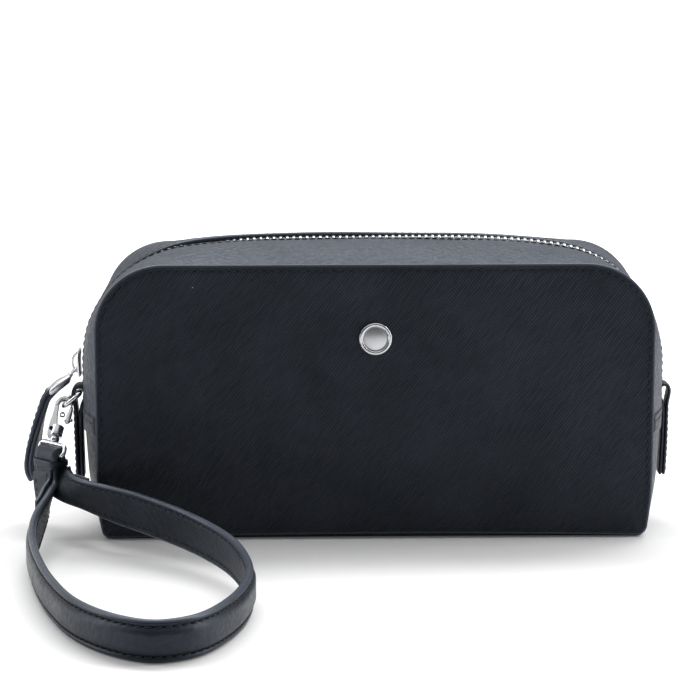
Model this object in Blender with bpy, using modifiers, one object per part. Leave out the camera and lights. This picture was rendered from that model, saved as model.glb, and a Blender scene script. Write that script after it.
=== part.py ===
"""Zipped leather wash pouch with a wrist strap, built as separate pieces.

Frame: +X to the pouch's right, +Y to its back, +Z up.  The origin is the centre of the
base's underside.  Sizes below are in millimetres and are turned into metres by MM.
"""
import math

import bmesh
import bpy
import numpy as np
from mathutils import Matrix, Vector

MM = 0.001
GAP = 0.3                       # clearance between touching pieces

# Pouch
HALF_WIDTH = 97.5               # panels reach this far each side
HALF_DEPTH = 29.0               # outer faces of the panels
PANEL_HEIGHT = 98.0
PANEL_CORNER = 24.0             # radius of the panels' top corners
PANEL_FOOT = 3.0                # radius of the panels' bottom corners
PANEL_THICK = 2.4
LEATHER = 1.8                   # thickness of gusset leather
LINING = 0.6
FOLD_Z = 44.5                   # the mouth bends open at this height
STRIP_Y = HALF_DEPTH - PANEL_THICK - GAP        # where the gusset meets a panel
SIDE_BULGE = 6.0                # how far the gusset stands out past the panels

# Zip
TEETH_X = 102.2                 # line of the teeth at the pouch's ends
CORNER_X = 60.5                 # centre of the zip's corner bend
CORNER_Z = 58.5
CORNER_R = TEETH_X - CORNER_X
CORNER_END = 80.0               # degrees turned before the top's gentle arch begins
ARCH_RISE = 3.2
STRIP_OVER_TEETH = 1.3          # strip surface stands this far outside the teeth
CHANNEL = 4.3                   # half width between the two strips' edges
ZIP_LOW_Z = 53.4                # teeth end here at both sides
TEETH_RADIUS = 0.85
TEETH_Y = 1.5
SIDE_RUN = CORNER_Z - FOLD_Z    # straight rise of the zip line at each side
BEND_RUN = CORNER_R * math.radians(CORNER_END)
HALF_TOP = CORNER_X + CORNER_R * math.cos(math.radians(CORNER_END))
ZIP_RUN = 2 * (SIDE_RUN + BEND_RUN + HALF_TOP)

# Badge and base board
BADGE_HEIGHT = 72.0
BADGE_RADIUS = 5.0
BADGE_RIM = 0.75                # radius of the rim's wire
BADGE_DISC = 3.9
BOARD_THICK = 1.5
BASE_LIFT = 0.6                 # the panels' bottom edges stand this far off the ground

# Tabs, ring and clasp
TAB_EYE = Vector((104.8, 0.0, 47.9))            # mirrored for the left end
TAB_HALF_WIDTH = 3.5
TAB_END_Z = 16.5
RING_WIRE = 0.85
HOOK_AT = Vector((-110.4, -4.5, 43.3))          # where the clasp hangs on the ring
BAR_AT = Vector((-114.5, -15.0, 28.6))          # bar that the wrist strap turns round
BAR_AXIS = Vector((0.67, -0.742, 0.0)).normalized()
BAR_WIRE = 0.9

# Puller
LINK_AT = Vector((-105.75, 0.0, 56.4))          # the puller hangs from this point
PULL_DIR = Vector((-0.787, 0.0, -0.617)).normalized()
PULLER_WIRE = 0.5
TONGUE_THICK = 3.2

# Wrist strap
STRAP_WIDTH = 13.6
STRAP_THICK = 2.6
STRAP_ROLL_THICK = 1.8          # thinner where it rolls round the bar
STRAP_SPACING = 4.0             # distance between cross-sections where it is nearly straight

BLACK = (0.012, 0.013, 0.017)
GREY_BLACK = (0.030, 0.033, 0.040)
STEEL = (0.78, 0.78, 0.79)


# ---------------------------------------------------------------- scene and helpers

def clear_scene():
    for obj in list(bpy.data.objects):
        bpy.data.objects.remove(obj, do_unlink=True)


def new_collection(name):
    collection = bpy.data.collections.new(name)
    bpy.context.scene.collection.children.link(collection)
    return collection


def make_material(name, color, roughness, metallic=0.0):
    material = bpy.data.materials.new(name)
    material.use_nodes = True
    shader = material.node_tree.nodes["Principled BSDF"]
    shader.inputs["Base Color"].default_value = (*color, 1.0)
    shader.inputs["Roughness"].default_value = roughness
    shader.inputs["Metallic"].default_value = metallic
    return material


def add_object(name, data, material, collection=None):
    obj = bpy.data.objects.new(name, data)
    (collection or PARTS).objects.link(obj)
    if material is not None:
        obj.data.materials.append(material)
    return obj


def millimetres(points):
    return [tuple(c * MM for c in p) for p in points]


def plate(name, outlines, half_thick, matrix, material):
    """A flat plate: closed outlines in the local XY plane, given half its thickness."""
    curve = bpy.data.curves.new(name, "CURVE")
    curve.dimensions = "2D"
    curve.fill_mode = "BOTH"
    curve.extrude = half_thick * MM
    for outline in outlines:
        spline = curve.splines.new("POLY")
        spline.points.add(len(outline) - 1)
        for point, (x, y) in zip(spline.points, outline):
            point.co = (x * MM, y * MM, 0.0, 1.0)
        spline.use_cyclic_u = True
    obj = add_object(name, curve, material)
    obj.matrix_world = matrix
    return obj


def wire(name, points, radius, material, cyclic=False, resolution=2):
    """A round wire along a run of points."""
    curve = bpy.data.curves.new(name, "CURVE")
    curve.dimensions = "3D"
    curve.bevel_depth = radius * MM
    curve.bevel_resolution = resolution
    curve.use_fill_caps = not cyclic
    spline = curve.splines.new("POLY")
    spline.points.add(len(points) - 1)
    for point, co in zip(spline.points, points):
        point.co = (co[0] * MM, co[1] * MM, co[2] * MM, 1.0)
    spline.use_cyclic_u = cyclic
    return add_object(name, curve, material)


def sheet(name, grid, thickness, material):
    """An open sheet of leather or cloth from rows of points, given its thickness inwards."""
    rows, columns = grid.shape[:2]
    vertices = grid.reshape(-1, 3) * MM
    faces = []
    for i in range(rows - 1):
        for j in range(columns - 1):
            a = i * columns + j
            faces.append((a, a + 1, a + columns + 1, a + columns))
    mesh = bpy.data.meshes.new(name)
    mesh.from_pydata(vertices.tolist(), [], faces)
    obj = add_object(name, mesh, material)
    solidify = obj.modifiers.new("Thickness", "SOLIDIFY")
    solidify.thickness = thickness * MM
    solidify.offset = -1.0
    return obj


def as_mesh(obj):
    """The same piece as a plain welded mesh, ready to be cut or joined."""
    depsgraph = bpy.context.evaluated_depsgraph_get()
    mesh = bpy.data.meshes.new_from_object(obj.evaluated_get(depsgraph))
    shape = bmesh.new()
    shape.from_mesh(mesh)
    bmesh.ops.remove_doubles(shape, verts=shape.verts, dist=0.00001)
    shape.to_mesh(mesh)
    shape.free()
    name = obj.name
    world = obj.matrix_world.copy()
    collection = obj.users_collection[0]
    bpy.data.objects.remove(obj, do_unlink=True)
    result = bpy.data.objects.new(name, mesh)
    collection.objects.link(result)
    result.matrix_world = world
    return result


def join_or_cut(target, tool, operation):
    """Adds a helper shape to a piece, or cuts it away, and hides the helper."""
    for collection in list(tool.users_collection):
        collection.objects.unlink(tool)
    CUTTERS.objects.link(tool)
    tool.hide_render = True
    tool.display_type = "WIRE"
    modifier = target.modifiers.new(operation.title(), "BOOLEAN")
    modifier.operation = operation
    modifier.solver = "EXACT"
    modifier.object = tool


def box(name, low, high, material):
    low, high = Vector(low), Vector(high)
    mesh = bpy.data.meshes.new(name)
    shape = bmesh.new()
    bmesh.ops.create_cube(shape, size=1.0)
    size = (high - low) * MM
    bmesh.ops.scale(shape, vec=size, verts=shape.verts)
    shape.to_mesh(mesh)
    shape.free()
    obj = add_object(name, mesh, material)
    obj.location = (low + high) * 0.5 * MM
    return obj


def rod(name, start, end, radius, material, segments=24):
    """A straight round pin between two points."""
    start, end = Vector(start), Vector(end)
    mesh = bpy.data.meshes.new(name)
    shape = bmesh.new()
    bmesh.ops.create_cone(shape, cap_ends=True, segments=segments, radius1=radius * MM,
                          radius2=radius * MM, depth=(end - start).length * MM)
    shape.to_mesh(mesh)
    shape.free()
    obj = add_object(name, mesh, material)
    turn = (end - start).to_track_quat("Z", "Y").to_matrix().to_4x4()
    obj.matrix_world = Matrix.Translation((start + end) * 0.5 * MM) @ turn
    return obj


def arc(centre, radius, first, last, count):
    """Points on an arc, angles in degrees from +X towards +Y of the outline's plane."""
    angles = np.radians(np.linspace(first, last, count))
    return [(centre[0] + radius * math.cos(a), centre[1] + radius * math.sin(a)) for a in angles]


def upright(y):
    """Places an outline drawn in (x, z) in the plane at this depth."""
    return Matrix.Translation((0.0, y * MM, 0.0)) @ Matrix.Rotation(math.radians(90), 4, "X")


# ---------------------------------------------------------------- outlines of the pouch

def zip_run(t):
    """Distance along the zip from its nearer end; the second value is -1 past the middle."""
    run = t * ZIP_RUN
    if run > ZIP_RUN / 2:
        return ZIP_RUN - run, -1.0
    return run, 1.0


def teeth_line(t):
    """Point and outward direction on the zip line; t runs 0..1 from the left end to the right."""
    run, mirror = zip_run(t)
    if run <= SIDE_RUN:
        x, z, nx, nz = -TEETH_X, FOLD_Z + run, -1.0, 0.0
    elif run <= SIDE_RUN + BEND_RUN:
        angle = (run - SIDE_RUN) / CORNER_R
        nx, nz = -math.cos(angle), math.sin(angle)
        x, z = -CORNER_X + CORNER_R * nx, CORNER_Z + CORNER_R * nz
    else:
        x = -HALF_TOP + (run - SIDE_RUN - BEND_RUN)
        power = HALF_TOP * math.tan(math.radians(90 - CORNER_END)) / ARCH_RISE
        base = CORNER_Z + CORNER_R * math.sin(math.radians(CORNER_END))
        share = abs(x) / HALF_TOP
        z = base + ARCH_RISE * (1.0 - share ** power)
        slope = ARCH_RISE * power * share ** (power - 1.0) / HALF_TOP
        nx, nz = -slope / math.hypot(slope, 1.0), 1.0 / math.hypot(slope, 1.0)
    return np.array((x * mirror, z)), np.array((nx * mirror, nz))


def panel_edge(t):
    """Point on the panel's edge that faces teeth_line(t)."""
    run, mirror = zip_run(t)
    inner_x = HALF_WIDTH - PANEL_CORNER
    inner_z = PANEL_HEIGHT - PANEL_CORNER
    if run <= SIDE_RUN:
        x, z = -HALF_WIDTH, FOLD_Z + run / SIDE_RUN * (inner_z - FOLD_Z)
    elif run <= SIDE_RUN + BEND_RUN:
        angle = (run - SIDE_RUN) / BEND_RUN * math.pi / 2
        x = -inner_x - PANEL_CORNER * math.cos(angle)
        z = inner_z + PANEL_CORNER * math.sin(angle)
    else:
        x, z = -inner_x + (run - SIDE_RUN - BEND_RUN) / HALF_TOP * inner_x, PANEL_HEIGHT
    return np.array((x * mirror, z))


def gusset_share(y):
    """How far the gusset has swung from the panel's edge (0) out to the zip line (1)."""
    return 1.0 - (abs(y) / STRIP_Y) ** 2


def side_x(y, z):
    """Half width of the pouch on the side patches."""
    return HALF_WIDTH + SIDE_BULGE * (max(z, 0.0) / FOLD_Z) ** 0.4 * gusset_share(y)


def path_samples():
    """Positions along the zip line: closer together round the corners."""
    runs = [0.0, SIDE_RUN * 0.5]
    runs += list(np.linspace(SIDE_RUN, SIDE_RUN + BEND_RUN, 13))
    runs += list(np.linspace(SIDE_RUN + BEND_RUN, ZIP_RUN / 2, 7))[1:]
    left = np.array(runs) / ZIP_RUN
    return np.concatenate([left, (1.0 - left[:-1])[::-1]])


# ---------------------------------------------------------------- pouch body

def build_panels(side, label):
    """Lower and upper panel of one face; side is -1 for the front and +1 for the back."""
    middle = side * (HALF_DEPTH - PANEL_THICK / 2)
    foot_x = HALF_WIDTH - PANEL_FOOT
    split = FOLD_Z - GAP / 2
    lower = arc((-foot_x, BASE_LIFT + PANEL_FOOT), PANEL_FOOT, 180, 270, 5)
    lower += arc((foot_x, BASE_LIFT + PANEL_FOOT), PANEL_FOOT, 270, 360, 5)
    lower += [(HALF_WIDTH, split), (-HALF_WIDTH, split)]
    plate(label + "_panel_lower", [lower], PANEL_THICK / 2, upright(middle), LEATHER_BLACK)
    top_x = HALF_WIDTH - PANEL_CORNER
    top_z = PANEL_HEIGHT - PANEL_CORNER
    upper = [(-HALF_WIDTH, FOLD_Z + GAP / 2), (HALF_WIDTH, FOLD_Z + GAP / 2)]
    upper += arc((top_x, top_z), PANEL_CORNER, 0, 90, 11)
    upper += arc((-top_x, top_z), PANEL_CORNER, 90, 180, 11)
    plate(label + "_panel_upper", [upper], PANEL_THICK / 2, upright(middle), LEATHER_BLACK)
    inset = LEATHER + GAP + 0.1
    lining = [(-HALF_WIDTH + inset, FOLD_Z + GAP), (HALF_WIDTH - inset, FOLD_Z + GAP)]
    lining += arc((top_x, top_z), PANEL_CORNER - inset, 0, 90, 7)
    lining += arc((-top_x, top_z), PANEL_CORNER - inset, 90, 180, 7)
    depth = side * (HALF_DEPTH - PANEL_THICK - GAP - LINING / 2)
    plate(label + "_lining_upper", [lining], LINING / 2, upright(depth), CLOTH_BLACK)


def strip_surface(t, depth):
    """Point on the gusset strip's outer surface, this far from the zip's centre line."""
    teeth, outward = teeth_line(t)
    crest = teeth + STRIP_OVER_TEETH * outward
    edge = panel_edge(t)
    return edge + (crest - edge) * gusset_share(depth) / gusset_share(CHANNEL)


def build_gusset_strip(side, label):
    """Leather strip from the panel's edge over to its side of the zip channel."""
    rows = []
    for t in path_samples():
        row = []
        for depth in np.linspace(STRIP_Y, CHANNEL, 5):
            x, z = strip_surface(t, depth)
            row.append((x, side * depth, max(z, FOLD_Z + GAP)))
        rows.append(row[::-1] if side < 0 else row)
    return sheet(label + "_gusset_strip", np.array(rows), LEATHER, LEATHER_GREY)


def build_zip_tape(side, label):
    """Woven tape that carries one row of teeth, under the strip's edge."""
    under = LEATHER + 2 * GAP
    rows = []
    for t in path_samples():
        teeth, outward = teeth_line(t)
        points = [(depth, strip_surface(t, depth) - under * outward) for depth in (12.0, 8.0)]
        points += [(depth, teeth - drop * outward) for depth, drop in ((4.2, 0.95), (2.7, 0.75))]
        row = [(x, side * depth, max(z, ZIP_LOW_Z)) for depth, (x, z) in points]
        rows.append(row[::-1] if side < 0 else row)
    return sheet(label + "_zip_tape", np.array(rows[1:-1]), 0.5, CLOTH_BLACK)


def build_zip_teeth(side, label):
    """One row of teeth as a closed run, a little short of the centre line."""
    points = []
    for t in path_samples():
        (x, z), _ = teeth_line(t)
        points.append((x, side * TEETH_Y, max(z, ZIP_LOW_Z)))
    points = points[1:-1]
    return wire(label + "_zip_teeth", points, TEETH_RADIUS, METAL, resolution=1)


def build_lower_gusset():
    """Side patches and base, one strip of leather that runs down, under and up again."""
    heights = np.array((FOLD_Z - GAP, 36.0, 28.0, 20.0, 13.0, 8.0, 5.0, PANEL_FOOT))
    angles = np.radians((22.5, 45.0, 67.5, 90.0))
    rows = []
    depths = np.linspace(-STRIP_Y, STRIP_Y, 9)
    left = []
    for z in heights:
        left.append([(-side_x(y, z), y, z) for y in depths])
    for a in angles:
        row = []
        for y in depths:
            reach = side_x(y, PANEL_FOOT) - PANEL_FOOT
            x = -reach - PANEL_FOOT * math.cos(a)
            row.append((x, y, PANEL_FOOT * (1.0 - math.sin(a))))
        left.append(row)
    rows = left + [[(-x, y, z) for x, y, z in row] for row in left[::-1]]
    return sheet("lower_gusset", np.array(rows), LEATHER, LEATHER_GREY)


def build_inside():
    floor_z = LEATHER + GAP
    box("base_board", (-93.0, -25.6, floor_z), (93.0, 25.6, floor_z + BOARD_THICK), BOARD)
    top = FOLD_Z - 2 * GAP
    bottom = floor_z + BOARD_THICK + GAP
    half_x, half_y = HALF_WIDTH - LEATHER - 0.5, STRIP_Y - 0.1
    lining = box("lower_lining", (-half_x, -half_y, bottom), (half_x, half_y, top), CLOTH_BLACK)
    shape = bmesh.new()
    shape.from_mesh(lining.data)
    lid = [face for face in shape.faces if face.normal.z > 0.9]
    bmesh.ops.delete(shape, geom=lid, context="FACES_ONLY")
    shape.to_mesh(lining.data)
    shape.free()
    solidify = lining.modifiers.new("Thickness", "SOLIDIFY")
    solidify.thickness = LINING * MM
    solidify.offset = -1.0
    solidify.use_even_offset = True


def build_emblem():
    """Plain round badge on the front panel: a steel ring round a satin disc."""
    front = -HALF_DEPTH - GAP
    bpy.ops.mesh.primitive_torus_add(major_radius=BADGE_RADIUS * MM, minor_radius=BADGE_RIM * MM,
                                     major_segments=48, minor_segments=10)
    ring = bpy.context.object
    ring.name = "emblem_ring"
    for collection in list(ring.users_collection):
        collection.objects.unlink(ring)
    PARTS.objects.link(ring)
    ring.data.materials.append(METAL)
    turn = Matrix.Rotation(math.radians(90), 4, "X")
    ring.matrix_world = Matrix.Translation((0.0, (front - BADGE_RIM) * MM, BADGE_HEIGHT * MM)) @ turn
    disc_front = front - 0.9
    rod("emblem_face", (0.0, front, BADGE_HEIGHT), (0.0, disc_front, BADGE_HEIGHT), BADGE_DISC,
        METAL, 48)


# ---------------------------------------------------------------- zip ends, tabs and slider

def build_zip_stops():
    low = ZIP_LOW_Z - GAP - 1.5
    high = ZIP_LOW_Z - GAP
    for side, label in ((-1, "front"), (1, "back")):
        near, far = sorted((side * 0.65, side * 2.6))
        corner = (-TEETH_X - 0.9, near, low)
        box(label + "_zip_top_stop", corner, (-TEETH_X + 0.9, far, high), METAL)
    box("zip_bottom_stop", (TEETH_X - 0.9, -2.5, low), (TEETH_X + 0.9, 2.5, high), METAL)


def build_tab(mirror, label):
    """Doubled leather tab at a zip end: an eye above, two layers hanging below."""
    outer, inner = 3.0, 1.6
    face, back = 103.9, 107.0
    x, z = TAB_EYE.x, TAB_EYE.z
    outline = [(back, TAB_END_Z), (back, z - 1.2)]
    outline += arc((x, z), outer, 0, 180, 13)
    outline += arc((x, z), outer, 180, 234, 4)[1:]
    outline += [(face, FOLD_Z + 0.15), (face, TAB_END_Z)]
    eye = arc((x, z), inner, 0, 345, 24)
    outlines = [[(mirror * px, pz) for px, pz in ring] for ring in (outline, eye)]
    plate(label + "_tab", outlines, TAB_HALF_WIDTH, upright(0.0), LEATHER_BLACK)


def build_slider():
    """Slider wrapped round the teeth: outer and inner plate joined by a thin divider."""
    centre = (-CORNER_X, CORNER_Z)
    spread = 6.1

    def curved_plate(name, low, high, half_width, first, last):
        outline = arc(centre, high, first, last, 7) + arc(centre, low, last, first, 7)
        return plate(name, [outline], half_width, upright(0.0), METAL)

    body = curved_plate("slider_body", CORNER_R + 1.2, CORNER_R + 2.2, 3.9,
                        180 - spread, 180 + spread)
    body = as_mesh(body)
    under = curved_plate("slider_under", CORNER_R - 2.4, CORNER_R - 1.5, 3.9,
                         180 - spread, 180 + spread)
    under = as_mesh(under)
    post = curved_plate("slider_divider", CORNER_R - 2.0, CORNER_R + 1.8, 0.3, 183.0, 185.7)
    post = as_mesh(post)
    join_or_cut(body, post, "UNION")
    join_or_cut(body, under, "UNION")
    bridge_centre = -CORNER_X - CORNER_R - 2.5
    half_height, reach, bar = 4.2, 3.3, 0.8
    angles = np.radians(np.linspace(90, 270, 13))
    outer = [(bridge_centre + reach * math.cos(a), CORNER_Z + half_height * math.sin(a))
             for a in angles]
    inner = [(bridge_centre + (reach - bar) * math.cos(a),
              CORNER_Z + (half_height - bar) * math.sin(a)) for a in angles[::-1]]
    plate("slider_bridge", [outer + inner], 1.1, upright(0.0), METAL)


def build_puller():
    """Link, metal ferrule and leather tongue of the zip puller."""
    across = Vector((0.0, 1.0, 0.0))
    thick = across.cross(PULL_DIR)
    half_wide = 2.0
    ring = []
    for a in np.radians(np.linspace(90, 270, 9)):
        near = 0.35 + 0.7 * math.cos(a)
        ring.append(LINK_AT + across * half_wide * math.sin(a) + PULL_DIR * near)
    for a in np.radians(np.linspace(-90, 90, 9)):
        far = 3.0 + math.cos(a)
        ring.append(LINK_AT + across * half_wide * math.sin(a) + PULL_DIR * far)
    wire("puller_link", ring, PULLER_WIRE, METAL, cyclic=True)

    frame = Matrix((PULL_DIR, thick, across)).transposed().to_4x4()
    neck, low_end, low_half = 4.6, 9.4, 2.1
    outline = [(neck, -1.1), (low_end, -low_half)]
    outline += arc((low_end, 0.0), low_half, -90, 90, 7)[1:]
    outline += [(neck, 1.1)]
    frame.translation = LINK_AT * MM
    plate("puller_ferrule", [outline], 4.2, frame, METAL)

    route = np.array(((-115.9, 47.0), (-117.6, 42.5), (-119.4, 37.0), (-121.0, 31.0),
                      (-122.2, 25.0), (-122.7, 20.5), (-122.6, 17.5), (-122.2, 15.5)))
    tangent = np.gradient(route, axis=0)
    tangent /= np.linalg.norm(tangent, axis=1)[:, None]
    outward = np.stack([tangent[:, 1], -tangent[:, 0]], axis=1)
    surface = route + outward * TONGUE_THICK / 2
    half = np.array((4.4, 5.0, 5.0, 5.0, 5.0, 4.6, 3.6, 2.0))
    grid = np.zeros((len(route), 3, 3))
    for j, share in enumerate((1.0, 0.0, -1.0)):
        grid[:, j, 0] = surface[:, 0]
        grid[:, j, 1] = share * half
        grid[:, j, 2] = surface[:, 1]
    sheet("puller_tab", grid[:, ::-1], TONGUE_THICK, LEATHER_BLACK)


# ---------------------------------------------------------------- ring, clasp and swivel

def build_tab_ring():
    """D-ring through the left tab's eye; its bow carries the clasp."""
    eye = Vector((-TAB_EYE.x, 0.0, TAB_EYE.z))
    out = Vector((HOOK_AT.x - eye.x, 0.0, HOOK_AT.z - eye.z)).normalized()
    across = Vector((0.0, 1.0, 0.0))
    half, length, corner = 5.5, 7.5, 2.6
    points = [eye + across * half, eye + across * 2.0, eye - across * 2.0, eye - across * half]
    for a in np.radians(np.linspace(0, 90, 6)):
        side = half - corner * (1.0 - math.cos(a))
        points.append(eye - across * side + out * (length - corner + corner * math.sin(a)))
    for a in np.radians(np.linspace(90, 0, 6)):
        side = half - corner * (1.0 - math.cos(a))
        points.append(eye + across * side + out * (length - corner + corner * math.sin(a)))
    wire("tab_ring", points, RING_WIRE, METAL, cyclic=True)


def clasp_frame():
    """Axes of the clasp: down its length, across its face, and through its thickness."""
    down = (BAR_AT - HOOK_AT).normalized()
    through = (Vector((0.0, 1.0, 0.0)) - down * down.y).normalized()
    right = down.cross(through)
    frame = Matrix((right, -down, right.cross(-down))).transposed().to_4x4()
    frame.translation = HOOK_AT * MM
    return frame, down, right, through


def build_clasp():
    """Trigger clasp: hook body with a barrel, sprung gate on a pin, and a swivel ring."""
    frame, down, right, through = clasp_frame()
    length = (BAR_AT - HOOK_AT).length
    bottom = 12.0
    wide, slot = 3.5, 2.2
    hook = [(1.5, -bottom), (2.4, -7.2), (2.4, -6.4), (-slot, -4.4)]
    hook += arc((0.0, 0.2), slot, 180, 25, 9)
    hook += arc((0.0, 0.2), wide, 25, 180, 11)
    hook += [(-wide, -4.0), (-3.1, -7.5), (-1.5, -bottom)]
    body = as_mesh(plate("clasp_hook", [hook], 1.2, frame, METAL))
    barrel = rod("clasp_barrel", HOOK_AT + down * 7.6, HOOK_AT + down * bottom, 2.2, None)
    join_or_cut(body, barrel, "UNION")
    bore = rod("clasp_bore", HOOK_AT + down * 9.0, HOOK_AT + down * (bottom + 1), 1.15, None)
    join_or_cut(body, bore, "DIFFERENCE")
    seat = rod("clasp_seat", HOOK_AT + down * 8.2, HOOK_AT + down * 9.9, 1.7, None)
    join_or_cut(body, seat, "DIFFERENCE")

    pin_at = HOOK_AT + right * 2.6 + down * 5.0
    gate = [(1.7, -6.1), (3.2, -6.1), (3.5, -4.6)]
    gate += [(3.4, -1.0), (3.1, 1.2), (2.3, 0.9), (2.3, -1.0), (1.9, -3.4)]
    gate_piece = as_mesh(plate("clasp_gate", [gate], 1.0, frame, METAL))
    gate_hole = rod("gate_hole", pin_at - through * 2.0, pin_at + through * 2.0, 0.7, None, 16)
    join_or_cut(gate_piece, gate_hole, "DIFFERENCE")
    rod("clasp_gate_pin", pin_at - through * 1.3, pin_at + through * 1.3, 0.4, METAL, 16)

    coil = []
    coil_at = HOOK_AT + right * 0.3 + down * 3.2
    for step in range(25):
        a = step / 24 * 3 * 2 * math.pi
        ring = (right * math.cos(a) + down * math.sin(a)) * 0.8
        coil.append(coil_at + ring + through * (step / 24 - 0.5) * 1.6)
    wire("clasp_spring", coil, 0.16, METAL, resolution=1)

    apex = HOOK_AT + down * (length - 4.6)
    stem = rod("clasp_swivel", HOOK_AT + down * 8.6, HOOK_AT + down * 13.0, 0.8, METAL, 16)
    head = rod("swivel_head", HOOK_AT + down * 8.5, HOOK_AT + down * 9.5, 1.35, None, 16)
    collar = rod("swivel_collar", HOOK_AT + down * 12.3, apex, 1.6, None, 16)
    half = STRAP_WIDTH / 2 + 1.6
    loop = []
    corners = (apex - BAR_AXIS * half, apex + BAR_AXIS * half,
               BAR_AT + BAR_AXIS * half, BAR_AT - BAR_AXIS * half)
    for index, corner in enumerate(corners):
        following = corners[(index + 1) % len(corners)]
        trim = 1.1 / (following - corner).length
        for share in (trim, 0.5, 1.0 - trim):
            loop.append(corner.lerp(following, share))
    bow = as_mesh(wire("swivel_bow", loop, BAR_WIRE, None, cyclic=True))
    for piece in (head, collar, bow):
        join_or_cut(stem, piece, "UNION")


# ---------------------------------------------------------------- wrist strap

def strap_route():
    """Centre line and width direction of the strap, as (point, width direction, thickness).

    It rolls over the bar, drops through the keeper, turns on edge and lies in a loop on the
    ground in front of the pouch.
    """
    beside = Vector((-BAR_AXIS.y, BAR_AXIS.x, 0.0))
    up = Vector((0.0, 0.0, 1.0))
    roll = BAR_WIRE + GAP + STRAP_ROLL_THICK / 2
    lying = STRAP_WIDTH / 2 + 0.05
    left_leg = ((-116.6, -18.2, 19.6), (-117.4, -21.5, 16.2), (-118.3, -28.0, 14.0), (-118.9, -40.0, 9.6),
                (-118.2, -55.0, 7.4), (-115.8, -74.0, lying), (-111.5, -98.0, lying),
                (-105.3, -122.0, lying), (-96.5, -145.0, lying), (-84.5, -161.5, lying))
    far_end = ((-71.0, -169.3, lying), (-58.2, -163.5, lying), (-48.6, -145.0, lying),
               (-43.8, -124.0, 7.0), (-43.6, -106.0, 8.2))
    right_leg = ((-49.5, -85.0, 11.0), (-62.0, -66.0, 13.6), (-78.0, -51.5, 16.0),
                 (-93.0, -40.5, 18.2), (-103.5, -31.8, 17.0), (-108.9, -24.2, 16.6), (-112.3, -16.4, 19.2))
    route = []
    for angle in np.radians((0, 30, 60, 90, 120, 150, 180)):
        point = BAR_AT - beside * roll * math.cos(angle) + up * roll * math.sin(angle)
        route.append((point, BAR_AXIS, STRAP_ROLL_THICK))
    under_left = BAR_AT - beside * roll - up * 5.0
    under_right = BAR_AT + beside * roll - up * 5.0
    left = [(Vector(p), None, STRAP_THICK) for p in left_leg]
    far = [(Vector(p), up, STRAP_THICK) for p in far_end]
    right = [(Vector(p), None, STRAP_THICK) for p in right_leg]
    for index, (point, _, thick) in enumerate(left):
        share = min(1.0, (index + 1) / 4.0)
        left[index] = (point, BAR_AXIS.lerp(up, share), thick)
    for index, (point, _, thick) in enumerate(right):
        share = min(1.0, (len(right) - index) / 4.5)
        right[index] = (point, BAR_AXIS.lerp(up, share), thick)
    start = [(under_left, BAR_AXIS, STRAP_ROLL_THICK)]
    finish = [(under_right, BAR_AXIS, STRAP_ROLL_THICK)]
    return start + left + far + right + finish + route[::-1]


def smooth_closed(values, spacing):
    """Samples of a smooth closed curve through rows of values (Catmull-Rom).

    Every span between two rows gets at least two samples, so tight bends stay round.
    """
    n = len(values)
    lengths = np.linalg.norm(values[:, :3] - np.roll(values[:, :3], -1, axis=0), axis=1)
    result = []
    for i in range(n):
        p0, p1, p2, p3 = (values[(i + j) % n] for j in (-1, 0, 1, 2))
        before, here, after = (lengths[(i + j) % n] for j in (-1, 0, 1))
        m1 = (p2 - p0) / (before + here) * here
        m2 = (p3 - p1) / (here + after) * here
        count = max(2, round(here / spacing))
        for u in np.arange(count) / count:
            h00 = 2 * u ** 3 - 3 * u ** 2 + 1
            h10 = u ** 3 - 2 * u ** 2 + u
            h01 = -2 * u ** 3 + 3 * u ** 2
            h11 = u ** 3 - u ** 2
            result.append(h00 * p1 + h10 * m1 + h01 * p2 + h11 * m2)
    return np.array(result)


def build_strap():
    """The strap as a closed band: a rectangle with softened edges carried round its route."""
    rows = []
    for point, width, thick in strap_route():
        rows.append((*point, *width, thick))
    route = smooth_closed(np.array(rows), STRAP_SPACING)
    centre, width, thick = route[:, :3], route[:, 3:6], route[:, 6]
    tangent = np.roll(centre, -1, axis=0) - np.roll(centre, 1, axis=0)
    tangent /= np.linalg.norm(tangent, axis=1)[:, None]
    width = width - tangent * np.sum(width * tangent, axis=1)[:, None]
    width /= np.linalg.norm(width, axis=1)[:, None]
    face = np.cross(tangent, width)
    half = STRAP_WIDTH / 2
    section = ((-half, -0.3), (-half + 0.5, -0.5), (half - 0.5, -0.5), (half, -0.3),
               (half, 0.3), (half - 0.5, 0.5), (-half + 0.5, 0.5), (-half, 0.3))
    rings = []
    for w, f in section:
        rings.append(centre + width * w + face * (f * thick)[:, None])
    grid = np.stack(rings, axis=1)
    count, sides = grid.shape[:2]
    faces = []
    for i in range(count):
        for j in range(sides):
            a = i * sides + j
            b = i * sides + (j + 1) % sides
            c = ((i + 1) % count) * sides
            faces.append((a, b, c + (j + 1) % sides, c + j))
    mesh = bpy.data.meshes.new("wrist_strap")
    mesh.from_pydata((grid.reshape(-1, 3) * MM).tolist(), [], faces)
    shape = bmesh.new()
    shape.from_mesh(mesh)
    bmesh.ops.recalc_face_normals(shape, faces=shape.faces)
    shape.to_mesh(mesh)
    shape.free()
    add_object("wrist_strap", mesh, LEATHER_GREY)


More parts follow.
